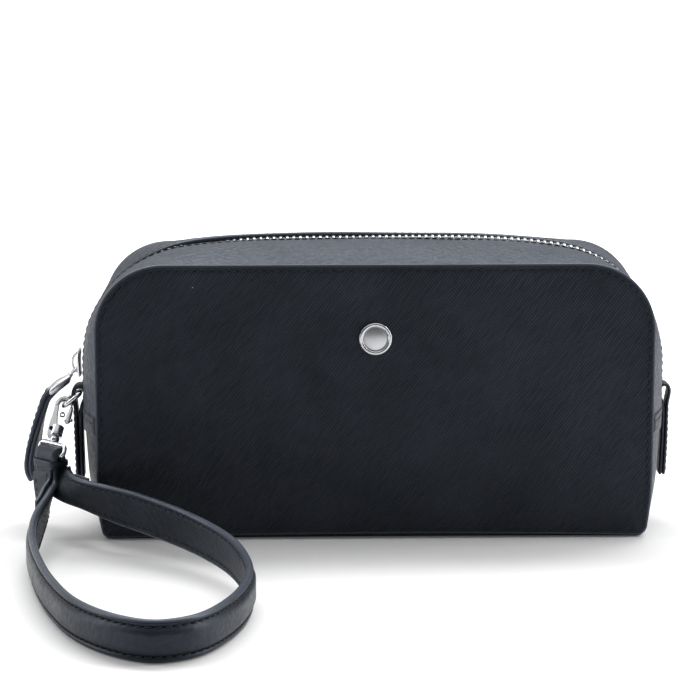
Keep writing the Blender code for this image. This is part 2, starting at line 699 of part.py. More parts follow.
def build_keeper():
    """Leather band that holds the strap's two legs together under the bar."""
    roll = BAR_WIRE + GAP + STRAP_ROLL_THICK / 2
    inner_x = roll + STRAP_ROLL_THICK / 2 + 1.3
    inner_y = STRAP_WIDTH / 2 + 1.0
    wall = 1.2

    def rounded(half_x, half_y, radius):
        x, y = half_x - radius, half_y - radius
        return (arc((x, y), radius, 0, 90, 4) + arc((-x, y), radius, 90, 180, 4)
                + arc((-x, -y), radius, 180, 270, 4) + arc((x, -y), radius, 270, 360, 4))

    beside = Vector((-BAR_AXIS.y, BAR_AXIS.x, 0.0))
    frame = Matrix((beside, -BAR_AXIS, Vector((0.0, 0.0, 1.0)))).transposed().to_4x4()
    frame.translation = (BAR_AT - Vector((0.0, 0.0, 2.4))) * MM
    outlines = [rounded(inner_x + wall, inner_y + wall, 1.8), rounded(inner_x, inner_y, 0.8)]
    plate("strap_keeper", outlines, 1.5, frame, LEATHER_GREY)


# ---------------------------------------------------------------- assembly

clear_scene()
PARTS = new_collection("wash_pouch")
CUTTERS = new_collection("cutters")
LEATHER_BLACK = make_material("black_leather", BLACK, 0.5)
LEATHER_GREY = make_material("edge_leather", GREY_BLACK, 0.5)
CLOTH_BLACK = make_material("black_cloth", BLACK, 0.85)
BOARD = make_material("base_board", (0.25, 0.2, 0.15), 0.8)
METAL = make_material("polished_metal", STEEL, 0.15, 1.0)

for face_side, face_label in ((-1, "front"), (1, "back")):
    build_panels(face_side, face_label)
    build_gusset_strip(face_side, face_label)
    build_zip_tape(face_side, face_label)
    build_zip_teeth(face_side, face_label)
build_lower_gusset()
build_inside()
build_emblem()
build_zip_stops()
build_tab(-1, "left")
build_tab(1, "right")
build_slider()
build_puller()
build_tab_ring()
build_clasp()
build_strap()
build_keeper()
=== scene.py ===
"""Looks of a zipped leather wash pouch with a wrist strap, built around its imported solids.

Frame: +X to the pouch's right, +Y to its back, +Z up, origin at the centre of the base.
Shapes are worked out in millimetres and turned into metres by MM when a mesh is made.
"""

import math

import bpy
import numpy as np
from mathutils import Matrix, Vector


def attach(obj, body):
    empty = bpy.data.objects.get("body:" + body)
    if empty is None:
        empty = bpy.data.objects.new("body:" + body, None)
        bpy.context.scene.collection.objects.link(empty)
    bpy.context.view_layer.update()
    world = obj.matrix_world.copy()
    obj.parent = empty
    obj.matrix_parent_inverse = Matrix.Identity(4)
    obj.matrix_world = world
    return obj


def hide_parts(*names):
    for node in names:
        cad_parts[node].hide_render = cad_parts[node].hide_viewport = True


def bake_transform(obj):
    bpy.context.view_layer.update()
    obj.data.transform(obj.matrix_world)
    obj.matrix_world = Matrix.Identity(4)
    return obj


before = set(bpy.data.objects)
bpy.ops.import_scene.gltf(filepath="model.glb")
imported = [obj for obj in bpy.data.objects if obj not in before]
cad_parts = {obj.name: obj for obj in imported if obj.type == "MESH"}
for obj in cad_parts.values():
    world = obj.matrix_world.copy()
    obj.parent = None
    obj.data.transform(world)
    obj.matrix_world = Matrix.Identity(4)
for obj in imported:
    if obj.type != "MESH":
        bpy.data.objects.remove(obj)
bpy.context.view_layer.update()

MM = 0.001

# Pouch
HALF_WIDTH = 97.5               # panels reach this far each side
HALF_DEPTH = 29.0               # outer faces of the panels
PANEL_HEIGHT = 98.0
PANEL_CORNER = 24.0             # radius of the panels' top corners
PANEL_FOOT = 3.0                # radius of the panels' bottom corners
PANEL_THICK = 2.4
LEATHER = 1.8                   # gusset leather
FOLD_Z = 44.5                   # the mouth bends open at this height
STRIP_Y = 26.3                  # where the gusset meets a panel
SIDE_BULGE = 6.0                # how far the gusset stands out past the panels
BASE_BELLY = 0.4                # how far the base's long edges curl up from the ground
TAPER = 2.0                     # the sides draw in by this much at the ground
TAPER_TOP = 24.0
FOOT_LIFT = 0.6                 # the panels' bottom edges stand this far off the ground
BASE_RISE = 1.3                 # and this much more at the middle of their length
EDGE_ROUND = 0.35               # radius of the panels' edges
PRESSED = 0.72                  # share of its thickness that a panel loses at the ground
PRESSED_TOP = 27.0
STRIP_TUCK = 1.0                # the gusset strips lie this far over the panels' edges
CLOTH = 0.5                     # linings and zip tapes

# Zip
TEETH_X = 102.2
CORNER_X = 60.5
CORNER_Z = 58.5
CORNER_R = TEETH_X - CORNER_X
CORNER_TURN = math.radians(80.0)
ARCH_RISE = 3.2
OVER_TEETH = 1.3                # the strips stand this far outside the teeth
CHANNEL = 4.3                   # half width between the two strips' edges
ZIP_LOW_Z = 53.4
TOOTH_PITCH = 2.35
PAST_MOUTH = 9.0                # strips and linings run this far below the zip line's ends

SIDE_RUN = CORNER_Z - FOLD_Z
BEND_RUN = CORNER_R * CORNER_TURN
HALF_TOP = CORNER_X + CORNER_R * math.cos(CORNER_TURN)
WHOLE_RUN = 2 * (SIDE_RUN + BEND_RUN + HALF_TOP)

# Leather bends between the pouch and a lip over this height
BEND_LOW_Z = 36.0

# Tabs, ring, clasp and puller
TAB_EYE = (104.8, 47.9)
HOOK_AT = np.array((-110.4, -4.5, 43.3))
BAR_AT = np.array((-114.5, -15.0, 28.6))
BAR_AXIS = np.array((0.67, -0.742, 0.0)) / math.hypot(0.67, 0.742)
LINK_AT = np.array((-105.75, 0.0, 56.4))
PULL_DIR = np.array((-0.787, 0.0, -0.617))

# Strap
STRAP_WIDTH = 13.6
STRAP_THICK = 2.6
ROLL_THICK = 1.8
ROOT_WIDTH = 10.6               # the strap narrows to this at its rolled end

STITCH_PITCH = 3.0
STITCH_LENGTH = 2.2
STITCH_INSET = 2.1              # from a panel's or the strap's edge

# Badge
BADGE_HEIGHT = 72.0
BADGE_RADIUS = 5.0
BADGE_RIM = (0.75, 0.62)        # half sizes of the rim's section
BADGE_DISC = 3.9


# ---------------------------------------------------------------- numbers

def unit(vectors):
    """Each vector divided by its own length."""
    vectors = np.asarray(vectors, float)
    return vectors / np.linalg.norm(vectors, axis=-1, keepdims=True)


def ease(values, low, high):
    """0 below low and 1 above high, with a smooth S between (3t^2 - 2t^3)."""
    t = np.clip((np.asarray(values, float) - low) / (high - low), 0.0, 1.0)
    return t * t * (3.0 - 2.0 * t)


def bump_line(values, at, width):
    """A smooth ridge of height 1 along one line: exp of minus the squared distance over width."""
    return np.exp(-((values - at) / width) ** 2)


def curve_through(points, spacing, ring=False):
    """Points a given spacing apart on a Catmull-Rom curve through rows of values.

    Each span is the cubic with end slopes (next - previous) / (their distance).  The curve is
    first sampled closely, then read again at even distances along itself.
    """
    points = np.asarray(points, float)
    if ring:
        padded = np.concatenate([points[-1:], points, points[:2]])
    else:
        first = 2 * points[0] - points[1]
        last = 2 * points[-1] - points[-2]
        padded = np.concatenate([first[None], points, last[None]])
    place = padded[:, :3]
    gaps = np.linalg.norm(np.diff(place, axis=0), axis=1)
    u = np.linspace(0.0, 1.0, 24, endpoint=False)[:, None]
    h00 = 2 * u ** 3 - 3 * u ** 2 + 1
    h10 = u ** 3 - 2 * u ** 2 + u
    h01 = -2 * u ** 3 + 3 * u ** 2
    h11 = u ** 3 - u ** 2
    spans = []
    for i in range(1, len(padded) - 2):
        slope_in = (padded[i + 1] - padded[i - 1]) / (gaps[i - 1] + gaps[i]) * gaps[i]
        slope_out = (padded[i + 2] - padded[i]) / (gaps[i] + gaps[i + 1]) * gaps[i]
        spans.append(h00 * padded[i] + h10 * slope_in + h01 * padded[i + 1] + h11 * slope_out)
    dense = np.concatenate(spans + [padded[-2:-1]])
    steps = np.linalg.norm(np.diff(dense[:, :3], axis=0), axis=1)
    run = np.concatenate([[0.0], np.cumsum(steps)])
    count = max(3, int(round(run[-1] / spacing)) + 1)
    wanted = np.linspace(0.0, run[-1], count)
    if ring:
        wanted = wanted[:-1]
    columns = [np.interp(wanted, run, dense[:, k]) for k in range(dense.shape[1])]
    return np.stack(columns, axis=1), run[-1]


# ---------------------------------------------------------------- meshes

def grid_quads(index, ring_rows, ring_columns):
    """Quads between neighbouring points of an index grid, wrapped where the grid is a ring."""
    rows, columns = index.shape
    i = np.arange(rows if ring_rows else rows - 1)[:, None]
    j = np.arange(columns if ring_columns else columns - 1)[None, :]
    i2, j2 = (i + 1) % rows, (j + 1) % columns
    quads = np.stack(np.broadcast_arrays(index[i, j], index[i, j2], index[i2, j2], index[i2, j]), -1)
    return quads.reshape(-1, 4)


def faces_point_out(points, face_sets):
    """True if the closed mesh has a positive volume (sum of a . (b x c) over its triangles)."""
    total = 0.0
    for faces in face_sets:
        for k in range(1, faces.shape[1] - 1):
            a, b, c = points[faces[:, 0]], points[faces[:, k]], points[faces[:, k + 1]]
            total += np.einsum("ij,ij->", a, np.cross(b, c))
    return total > 0.0


def make_piece(name, points, face_sets, finishes, paint=None, uv_sets=None, crease=38.0):
    """Puts arrays of points and faces into a mesh object, with its finishes.

    paint gives each face's finish number; uv_sets gives each face corner's place on the sheet.
    """
    points = np.asarray(points, float)
    mesh = bpy.data.meshes.new(name)
    if not faces_point_out(points - points.mean(axis=0), face_sets):
        face_sets = [faces[:, ::-1] for faces in face_sets]
        if uv_sets is not None:
            uv_sets = [uv[:, ::-1] for uv in uv_sets]
    lists = [face for faces in face_sets for face in faces.tolist()]
    mesh.from_pydata((points * MM).tolist(), [], lists)
    if uv_sets is not None:
        layer = mesh.uv_layers.new(name="sheet")
        flat = np.concatenate([uv.reshape(-1, 2) for uv in uv_sets]) * MM
        layer.uv.foreach_set("vector", flat.astype(np.float32).ravel())
    for finish in finishes:
        mesh.materials.append(finish)
    if paint is not None:
        mesh.polygons.foreach_set("material_index", np.asarray(paint, np.int32))
    mesh.shade_smooth()
    mesh.set_sharp_from_angle(angle=math.radians(crease))
    mesh.update()
    piece = bpy.data.objects.new(name, mesh)
    bpy.context.scene.collection.objects.link(piece)
    return piece


def rim_steps(length, spacing, rim, marks=()):
    """Positions across a sheet: crowded over both round rims and near marks, even between."""
    turn = np.radians((0.0, 28.0, 50.0, 70.0, 90.0))
    edge = rim * (1.0 - np.cos(turn))
    count = max(2, int(math.ceil((length - 2 * rim) / spacing)) + 1)
    middle = np.linspace(rim, length - rim, count)
    near = [mark + step for mark in marks for step in (-0.8, -0.45, -0.2, 0.0, 0.2, 0.45, 0.8)]
    steps = np.sort(np.concatenate([edge, middle, length - edge, near]))
    keep = np.concatenate([[True], np.diff(steps) > 0.02])
    return steps[keep]


def sheet_piece(name, surface, length, width, thick, finishes, spacing=(2.0, 2.0), ring=False,
                facing=1.0, relief=None, under=None, marks=(), end_marks=()):
    """A sheet of leather, cloth or metal with round rims, from the surface of its outer face.

    surface(u, v) gives the outer face at u along and v across, in millimetres.  The middle of
    the sheet lies half its thickness below, and the two faces stand off the middle by
    half * sqrt(1 - (1 - d / half)^2), where d is the distance to the nearest rim, so that each
    rim is a half circle.  relief and under add to the outer and the inner face.  The finishes
    are for the outer face, the rim and, if there is a third, the inner face.
    """
    half = thick / 2
    if ring:
        u = np.linspace(0.0, length, max(8, int(round(length / spacing[0]))), endpoint=False)
    else:
        u = rim_steps(length, spacing[0], half, end_marks)
    v = rim_steps(width, spacing[1], half, marks)
    grid_u, grid_v = np.meshgrid(u, v, indexing="ij")
    outer = surface(grid_u, grid_v)
    small = 0.05
    along = surface(grid_u + small, grid_v) - surface(grid_u - small, grid_v)
    across = surface(grid_u, grid_v + small) - surface(grid_u, grid_v - small)
    normal = unit(np.cross(along, across)) * facing
    to_rim = np.minimum(grid_v, width - grid_v)
    if not ring:
        to_rim = np.minimum(to_rim, np.minimum(grid_u, length - grid_u))
    stand = half * np.sqrt(np.clip(1.0 - np.clip(1.0 - to_rim / half, 0.0, 1.0) ** 2, 0.0, 1.0))
    fade = np.clip(to_rim / half, 0.0, 1.0)
    middle = outer - normal * half
    upper = stand + (fade * relief(grid_u, grid_v) if relief else 0.0)
    lower = stand + (fade * under(grid_u, grid_v) if under else 0.0)
    top = middle + normal * upper[..., None]
    bottom = middle - normal * lower[..., None]
    index = np.arange(grid_u.size).reshape(grid_u.shape)
    inner = to_rim > 1e-6
    below = index.copy()
    below[inner] = grid_u.size + np.arange(inner.sum())
    points = np.concatenate([top.reshape(-1, 3), bottom[inner]])
    faces_top = grid_quads(index, ring, False)
    faces_below = grid_quads(below, ring, False)[:, ::-1]
    rows = len(u) if ring else len(u) - 1
    i, j = np.meshgrid(np.arange(rows), np.arange(len(v) - 1), indexing="ij")
    u_long = np.append(u, length)
    corners = [(i, j), (i, j + 1), (i + 1, j + 1), (i + 1, j)]
    uv = np.stack([np.stack([u_long[a], v[b]], -1) for a, b in corners], -2).reshape(-1, 4, 2)
    rim = (np.roll(to_rim, -1, axis=0) + to_rim)[:rows] / 2
    on_rim = ((rim[:, :-1] + rim[:, 1:]) / 2 < 0.6 * half).ravel().astype(int)
    inner_face = 2 if len(finishes) > 2 else 0
    paint = np.concatenate([on_rim, np.where(on_rim, 1, inner_face)]) if len(finishes) > 1 else None
    faces = np.concatenate([faces_top, faces_below])
    uv_set = np.concatenate([uv, uv[:, ::-1]])
    return make_piece(name, points, [faces], finishes, paint, [uv_set])


def loft_piece(name, rings, finishes, ring=False, crease=38.0):
    """A closed skin over a row of loops, its two ends closed at their middles."""
    rings = np.asarray(rings, float)
    rows, columns = rings.shape[:2]
    index = np.arange(rows * columns).reshape(rows, columns)
    quads = grid_quads(index, ring, True)
    points = rings.reshape(-1, 3)
    if ring:
        return make_piece(name, points, [quads], finishes, crease=crease)
    ends = np.stack([rings[0].mean(axis=0), rings[-1].mean(axis=0)])
    points = np.concatenate([points, ends])
    first, last = index[0], index[-1]
    start = np.stack([np.full(columns, rows * columns), np.roll(first, -1), first], -1)
    finish = np.stack([np.full(columns, rows * columns + 1), last, np.roll(last, -1)], -1)
    return make_piece(name, points, [quads, start, finish], finishes, crease=crease)


def loop_section(sides, square=2.0):
    """Corners of a closed section of half sizes 1: |x|^square + |y|^square = 1."""
    turn = np.linspace(0.0, 2 * np.pi, sides, endpoint=False)
    power = 2.0 / square
    x = np.sign(np.cos(turn)) * np.abs(np.cos(turn)) ** power
    y = np.sign(np.sin(turn)) * np.abs(np.sin(turn)) ** power
    return np.stack([x, y], -1)


def bar_piece(name, line, wide_axis, half_wide, half_thick, finishes, ring=False, sides=16,
              square=2.0, crease=38.0):
    """A bar along a line: at each point a loop_section, scaled by the two half sizes.

    The section's first side lies along wide_axis, less its part along the line.
    """
    line = np.asarray(line, float)
    if ring:
        along = unit(np.roll(line, -1, axis=0) - np.roll(line, 1, axis=0))
    else:
        along = unit(np.gradient(line, axis=0))
    wide = np.broadcast_to(np.asarray(wide_axis, float), line.shape)
    wide = unit(wide - along * np.sum(wide * along, axis=1)[:, None])
    thick = np.cross(along, wide)
    section = loop_section(sides, square)
    half_wide = np.broadcast_to(half_wide, len(line))
    half_thick = np.broadcast_to(half_thick, len(line))
    rings = (line[:, None]
             + wide[:, None] * (section[:, 0][None] * half_wide[:, None])[..., None]
             + thick[:, None] * (section[:, 1][None] * half_thick[:, None])[..., None])
    return loft_piece(name, rings, finishes, ring, crease)


def turned_piece(name, profile, base, axis, finishes, sides=48, crease=38.0):
    """A turned shape: (radius, height) pairs carried round an axis from its base point."""
    profile = np.asarray(profile, float)
    axis = unit(axis)
    helper = np.array((0.0, 0.0, 1.0)) if abs(axis[2]) < 0.9 else np.array((1.0, 0.0, 0.0))
    first = unit(np.cross(axis, helper))
    second = np.cross(axis, first)
    turn = np.linspace(0.0, 2 * np.pi, sides, endpoint=False)
    spoke = first * np.cos(turn)[:, None] + second * np.sin(turn)[:, None]
    rings = np.asarray(base) + axis * profile[:, 1][:, None, None] \
        + spoke[None] * profile[:, 0][:, None, None]
    return loft_piece(name, rings, finishes, crease=crease)


def round_ends(count, sharpness=2.0):
    """Share of full size along a bar, closing at both ends: sqrt(1 - |t|^(2 sharpness))."""
    t = np.linspace(-0.995, 0.995, count)
    return np.sqrt(1.0 - np.abs(t) ** (2.0 * sharpness))


def copies_piece(name, rings, places, axes, finishes, crease=38.0):
    """Many copies of one small lofted shape, joined into one piece.

    rings is the shape (rows, columns, 3); places (n, 3) and axes (n, 3, 3) put each copy, the
    shape's x, y and z going along the rows of axes.
    """
    rows, columns = rings.shape[:2]
    flat = np.concatenate([rings.reshape(-1, 3), rings[:1].mean(axis=1), rings[-1:].mean(axis=1)])
    points = np.einsum("pk,nkc->npc", flat, axes) + places[:, None]
    index = np.arange(rows * columns).reshape(rows, columns)
    quads = grid_quads(index, False, True)
    start = np.stack([np.full(columns, rows * columns), np.roll(index[0], -1), index[0]], -1)
    finish = np.stack([np.full(columns, rows * columns + 1), index[-1], np.roll(index[-1], -1)], -1)
    shift = (np.arange(len(places)) * len(flat))[:, None, None]
    sets = [(faces[None] + shift).reshape(-1, faces.shape[1]) for faces in (quads, start, finish)]
    return make_piece(name, points.reshape(-1, 3), sets, finishes, crease=crease)


def stitch_shape():
    """One stitch of thread lying along x: a short round bar with tapered ends, dipped into z < 0."""
    along = np.array((-1.0, -0.82, -0.35, 0.35, 0.82, 1.0)) * STITCH_LENGTH / 2
    radius = np.array((0.10, 0.21, 0.26, 0.26, 0.21, 0.10))
    height = np.array((-0.30, -0.05, 0.06, 0.06, -0.05, -0.30))
    turn = np.linspace(0.0, 2 * np.pi, 6, endpoint=False)
    y = radius[:, None] * np.cos(turn)
    z = radius[:, None] * np.sin(turn) + height[:, None]
    x = np.broadcast_to(along[:, None], y.shape)
    return np.stack([x, y, z], -1)


def hole_shape():
    """One needle hole: a small shallow disc of shadow, barely above the face it lies on."""
    turn = np.linspace(0.0, 2 * np.pi, 8, endpoint=False)
    rows = [(0.10, 0.03), (0.36, 0.02), (0.42, -0.10)]
    return np.array([[(r * math.cos(a) * 1.3, r * math.sin(a), z) for a in turn] for r, z in rows])


def stitches(name, surface, u, v, finishes, facing=1.0, lift=0.05, slant=5.0, shape=None):
    """Stitches on a sheet's face at places (u, v) of its surface, each along the row of places."""
    u, v = np.broadcast_arrays(np.asarray(u, float), np.asarray(v, float))
    small = 0.05
    du, dv = np.gradient(u), np.gradient(v)
    size = np.hypot(du, dv)
    du, dv = du / size * small, dv / size * small
    place = surface(u, v)
    along = unit(surface(u + du, v + dv) - surface(u - du, v - dv))
    side_u = surface(u + small, v) - surface(u - small, v)
    side_v = surface(u, v + small) - surface(u, v - small)
    normal = unit(np.cross(side_u, side_v)) * facing
    across = np.cross(normal, along)
    lean = math.radians(slant)
    x_axis = along * math.cos(lean) + across * math.sin(lean)
    y_axis = np.cross(normal, x_axis)
    axes = np.stack([x_axis, y_axis, normal], axis=1)
    rings = stitch_shape() if shape is None else shape
    return copies_piece(name, rings, place + normal * lift, axes, finishes)


def between(places):
    """The places halfway between neighbours."""
    return (places[1:] + places[:-1]) / 2


def even_places(first, last, pitch=STITCH_PITCH):
    """Places an even pitch apart that fill a run as nearly as they can."""
    count = max(2, int(round(abs(last - first) / pitch)) + 1)
    return np.linspace(first, last, count)


def rides(piece, body, replaced=()):
    """Puts a piece on its body and the solids it stands for."""
    if isinstance(body, str):
        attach(piece, body)
    else:
        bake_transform(piece)
    if replaced:
        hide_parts(*replaced)
    return piece


# ---------------------------------------------------------------- finishes

def new_node(tree, kind, inputs=None, **settings):
    """A shader node with its settings and unlinked input values, or links to them."""
    made = tree.nodes.new(kind)
    for key, value in settings.items():
        setattr(made, key, value)
    for key, value in (inputs or {}).items():
        socket = made.inputs[key]
        if isinstance(value, bpy.types.NodeSocket):
            tree.links.new(value, socket)
        else:
            socket.default_value = value
    return made


def calc(tree, operation, first, second=0.0, third=0.0, clamp=False):
    """The result of one sum on values or sockets."""
    made = new_node(tree, "ShaderNodeMath", {0: first, 1: second, 2: third}, operation=operation)
    made.use_clamp = clamp
    return made.outputs[0]


def spread(tree, value, low, high, to_low=0.0, to_high=1.0):
    """A value between low and high, stretched to another range and held inside it."""
    made = new_node(tree, "ShaderNodeMapRange", {"Value": value, "From Min": low, "From Max": high,
                                                 "To Min": to_low, "To Max": to_high})
    return made.outputs["Result"]


def blend_colours(tree, share, first, second):
    """The first colour where share is 0, the second where it is 1."""
    made = new_node(tree, "ShaderNodeMix", data_type="RGBA")
    for socket, value in ((made.inputs[0], share), (made.inputs[6], first), (made.inputs[7], second)):
        if isinstance(value, bpy.types.NodeSocket):
            tree.links.new(value, socket)
        else:
            socket.default_value = value
    return made.outputs[2]


def effect_group(name, inputs, outputs):
    """An empty effect group with named value inputs and outputs, and its two end nodes."""
    group = bpy.data.node_groups.new(name, "ShaderNodeTree")
    group.interface.new_socket(name="Vector", in_out="INPUT", socket_type="NodeSocketVector")
    for key, value in inputs.items():
        socket = group.interface.new_socket(name=key, in_out="INPUT", socket_type="NodeSocketFloat")
        socket.default_value = value
    for key in outputs:
        group.interface.new_socket(name=key, in_out="OUTPUT", socket_type="NodeSocketFloat")
    return group, group.nodes.new("NodeGroupInput"), group.nodes.new("NodeGroupOutput")


def make_grain_effect():
    """Pebbled leather grain: rounded cells with fine creases between, and a slow tone."""
    group, given, out = effect_group("leather_grain", {"Cells": 900.0}, ("Height", "Tone"))
    cells = new_node(group, "ShaderNodeTexVoronoi",
                     {"Vector": given.outputs["Vector"], "Scale": given.outputs["Cells"],
                      "Randomness": 0.9}, feature="SMOOTH_F1")
    fine = new_node(group, "ShaderNodeTexNoise",
                    {"Vector": given.outputs["Vector"], "Scale": 2600.0, "Detail": 3.0})
    slow = new_node(group, "ShaderNodeTexNoise",
                    {"Vector": given.outputs["Vector"], "Scale": 70.0, "Detail": 4.0})
    pebble = calc(group, "SUBTRACT", 1.0, cells.outputs["Distance"])
    height = calc(group, "MULTIPLY_ADD", fine.outputs["Fac"], 0.35, pebble)
    group.links.new(height, out.inputs["Height"])
    group.links.new(slow.outputs["Fac"], out.inputs["Tone"])
    return group


def make_hatch_effect():
    """Printed hatch: fine parallel ridges across x, a little wandering and broken, and a slow tone."""
    group, given, out = effect_group("printed_hatch", {"Lines": 420.0}, ("Height", "Tone"))
    ridges = new_node(group, "ShaderNodeTexWave",
                      {"Vector": given.outputs["Vector"], "Scale": given.outputs["Lines"],
                       "Distortion": 1.5, "Detail": 2.0, "Detail Scale": 0.55}, wave_type="BANDS",
                      bands_direction="X")
    stretch = new_node(group, "ShaderNodeMapping", {"Vector": given.outputs["Vector"]})
    stretch.inputs["Scale"].default_value = (900.0, 160.0, 900.0)
    breaks = new_node(group, "ShaderNodeTexNoise",
                      {"Vector": stretch.outputs["Vector"], "Scale": 1.0, "Detail": 3.0})
    slow = new_node(group, "ShaderNodeTexNoise",
                    {"Vector": given.outputs["Vector"], "Scale": 45.0, "Detail": 5.0})
    broken = spread(group, breaks.outputs["Fac"], 0.34, 0.58, 0.25, 1.0)
    ridge = calc(group, "MULTIPLY", ridges.outputs["Fac"], broken)
    height = calc(group, "MULTIPLY_ADD", breaks.outputs["Fac"], 0.5, ridge)
    group.links.new(height, out.inputs["Height"])
    group.links.new(slow.outputs["Fac"], out.inputs["Tone"])
    return group


def make_weave_effect():
    """Plain weave: two crossed sets of threads that pass over and under each other."""
    group, given, out = effect_group("thread_weave", {"Threads": 900.0}, ("Height", "Tone"))
    bands = [new_node(group, "ShaderNodeTexWave",
                      {"Vector": given.outputs["Vector"], "Scale": given.outputs["Threads"],
                       "Distortion": 0.6, "Detail Scale": 0.4}, wave_type="BANDS",
                      bands_direction=way) for way in ("X", "Y")]
    crossed = calc(group, "MULTIPLY", bands[0].outputs["Fac"], bands[1].outputs["Fac"])
    slow = new_node(group, "ShaderNodeTexNoise",
                    {"Vector": given.outputs["Vector"], "Scale": 120.0, "Detail": 4.0})
    group.links.new(crossed, out.inputs["Height"])
    group.links.new(slow.outputs["Fac"], out.inputs["Tone"])
    return group


def make_handling_effect():
    """Signs of handling: faint smears that change the gloss, and a few specks of dust."""
    group, given, out = effect_group("handling", {"Amount": 1.0}, ("Smear", "Dust"))
    smear = new_node(group, "ShaderNodeTexNoise",
                     {"Vector": given.outputs["Vector"], "Scale": 26.0, "Detail": 6.0,
                      "Distortion": 0.8})
    specks = new_node(group, "ShaderNodeTexVoronoi",
                      {"Vector": given.outputs["Vector"], "Scale": 110.0})
    near = calc(group, "LESS_THAN", specks.outputs["Distance"], 0.022)
    rare = calc(group, "GREATER_THAN", smear.outputs["Fac"], 0.60)
    dust = calc(group, "MULTIPLY", near, rare)
    smeared = calc(group, "MULTIPLY", spread(group, smear.outputs["Fac"], 0.35, 0.7),
                   given.outputs["Amount"])
    group.links.new(smeared, out.inputs["Smear"])
    group.links.new(dust, out.inputs["Dust"])
    return group


EFFECTS = {}


def start_finish(name, roughness, metallic=0.0, specular=0.5, tint=(1.0, 1.0, 1.0)):
    """A new finish with its shader and plain sockets set; returns the material, tree and shader."""
    finish = bpy.data.materials.new(name)
    finish.use_nodes = True
    tree = finish.node_tree
    shader = tree.nodes["Principled BSDF"]
    shader.inputs["Roughness"].default_value = roughness
    shader.inputs["Metallic"].default_value = metallic
    shader.inputs["Specular IOR Level"].default_value = specular
    shader.inputs["Specular Tint"].default_value = (*tint, 1.0)
    return finish, tree, shader


def pattern_vector(tree, on_sheet, turn, flat=False):
    """The pattern's coordinates in metres: the sheet's own, or the object's, turned as wanted."""
    if on_sheet:
        source = new_node(tree, "ShaderNodeUVMap", uv_map="sheet").outputs["UV"]
    else:
        source = new_node(tree, "ShaderNodeTexCoord").outputs["Object"]
    if flat:
        lay = new_node(tree, "ShaderNodeMapping", {"Vector": source})
        lay.inputs["Rotation"].default_value = (math.radians(-90.0), 0.0, 0.0)
        source = lay.outputs["Vector"]
    mapping = new_node(tree, "ShaderNodeMapping", {"Vector": source})
    mapping.inputs["Rotation"].default_value = (0.0, 0.0, math.radians(turn))
    return mapping.outputs["Vector"]


def place_effect(tree, effect, vector, **values):
    """One of the shared effects, with its pattern coordinates and its own values."""
    made = new_node(tree, "ShaderNodeGroup", node_tree=EFFECTS[effect])
    tree.links.new(vector, made.inputs["Vector"])
    for key, value in values.items():
        made.inputs[key].default_value = value
    return made


def textured_finish(name, effect, dark, light, roughness, bump, specular=0.5, on_sheet=False,
                    turn=0.0, flat=False, dust=0.0, tint=(0.74, 0.84, 1.0), **values):
    """Leather, cloth, thread or card: one effect drives its relief, tone and gloss.

    The colour runs from dark in the hollows to light on the ridges; smears move the gloss.
    """
    finish, tree, shader = start_finish(name, roughness, specular=specular, tint=tint)
    vector = pattern_vector(tree, on_sheet, turn, flat)
    pattern = place_effect(tree, effect, vector, **values)
    plain = new_node(tree, "ShaderNodeTexCoord").outputs["Object"]
    marks = place_effect(tree, "handling", plain, Amount=1.0)
    tone = calc(tree, "MULTIPLY_ADD", pattern.outputs["Height"], 0.45,
                spread(tree, pattern.outputs["Tone"], 0.3, 0.7, 0.0, 0.55), clamp=True)
    colour = blend_colours(tree, tone, (*dark, 1.0), (*light, 1.0))
    if dust:
        dusty = calc(tree, "MULTIPLY", marks.outputs["Dust"], dust)
        colour = blend_colours(tree, dusty, colour, (0.55, 0.56, 0.58, 1.0))
    tree.links.new(colour, shader.inputs["Base Color"])
    smeared = spread(tree, marks.outputs["Smear"], 0.0, 1.0, roughness + 0.05, roughness - 0.05)
    hollow = calc(tree, "SUBTRACT", 0.6, pattern.outputs["Height"])
    gloss = calc(tree, "MULTIPLY_ADD", hollow, 0.22, smeared, clamp=True)
    tree.links.new(gloss, shader.inputs["Roughness"])
    relief = new_node(tree, "ShaderNodeBump", {"Height": pattern.outputs["Height"],
                                               "Strength": 1.0, "Distance": bump * MM})
    tree.links.new(relief.outputs["Normal"], shader.inputs["Normal"])
    return finish


def metal_finish(name, colour, roughness, scratch=0.004, brushed=0.0):
    """Metal with faint wipe marks in its gloss and very fine scratches or brushing in its relief."""
    finish, tree, shader = start_finish(name, roughness, metallic=1.0)
    source = new_node(tree, "ShaderNodeTexCoord").outputs["Object"]
    marks = place_effect(tree, "handling", source, Amount=1.0)
    stretch = new_node(tree, "ShaderNodeMapping", {"Vector": source})
    stretch.inputs["Scale"].default_value = (300.0, 300.0, 7000.0 if brushed else 2500.0)
    lines = new_node(tree, "ShaderNodeTexNoise",
                     {"Vector": stretch.outputs["Vector"], "Scale": 1.0, "Detail": 4.0})
    gloss = spread(tree, marks.outputs["Smear"], 0.0, 1.0, roughness, roughness + 0.08)
    tree.links.new(gloss, shader.inputs["Roughness"])
    dull = tuple(channel * 0.86 for channel in colour)
    tint = blend_colours(tree, lines.outputs["Fac"], (*colour, 1.0), (*dull, 1.0))
    tree.links.new(tint, shader.inputs["Base Color"])
    relief = new_node(tree, "ShaderNodeBump", {"Height": lines.outputs["Fac"], "Strength": 1.0,
                                               "Distance": (scratch + brushed) * MM})
    tree.links.new(relief.outputs["Normal"], shader.inputs["Normal"])
    return finish


EFFECTS["grain"] = make_grain_effect()
EFFECTS["hatch"] = make_hatch_effect()
EFFECTS["weave"] = make_weave_effect()
EFFECTS["handling"] = make_handling_effect()

INK = (0.0055, 0.0065, 0.0090)
SLATE = (0.0190, 0.0220, 0.0300)

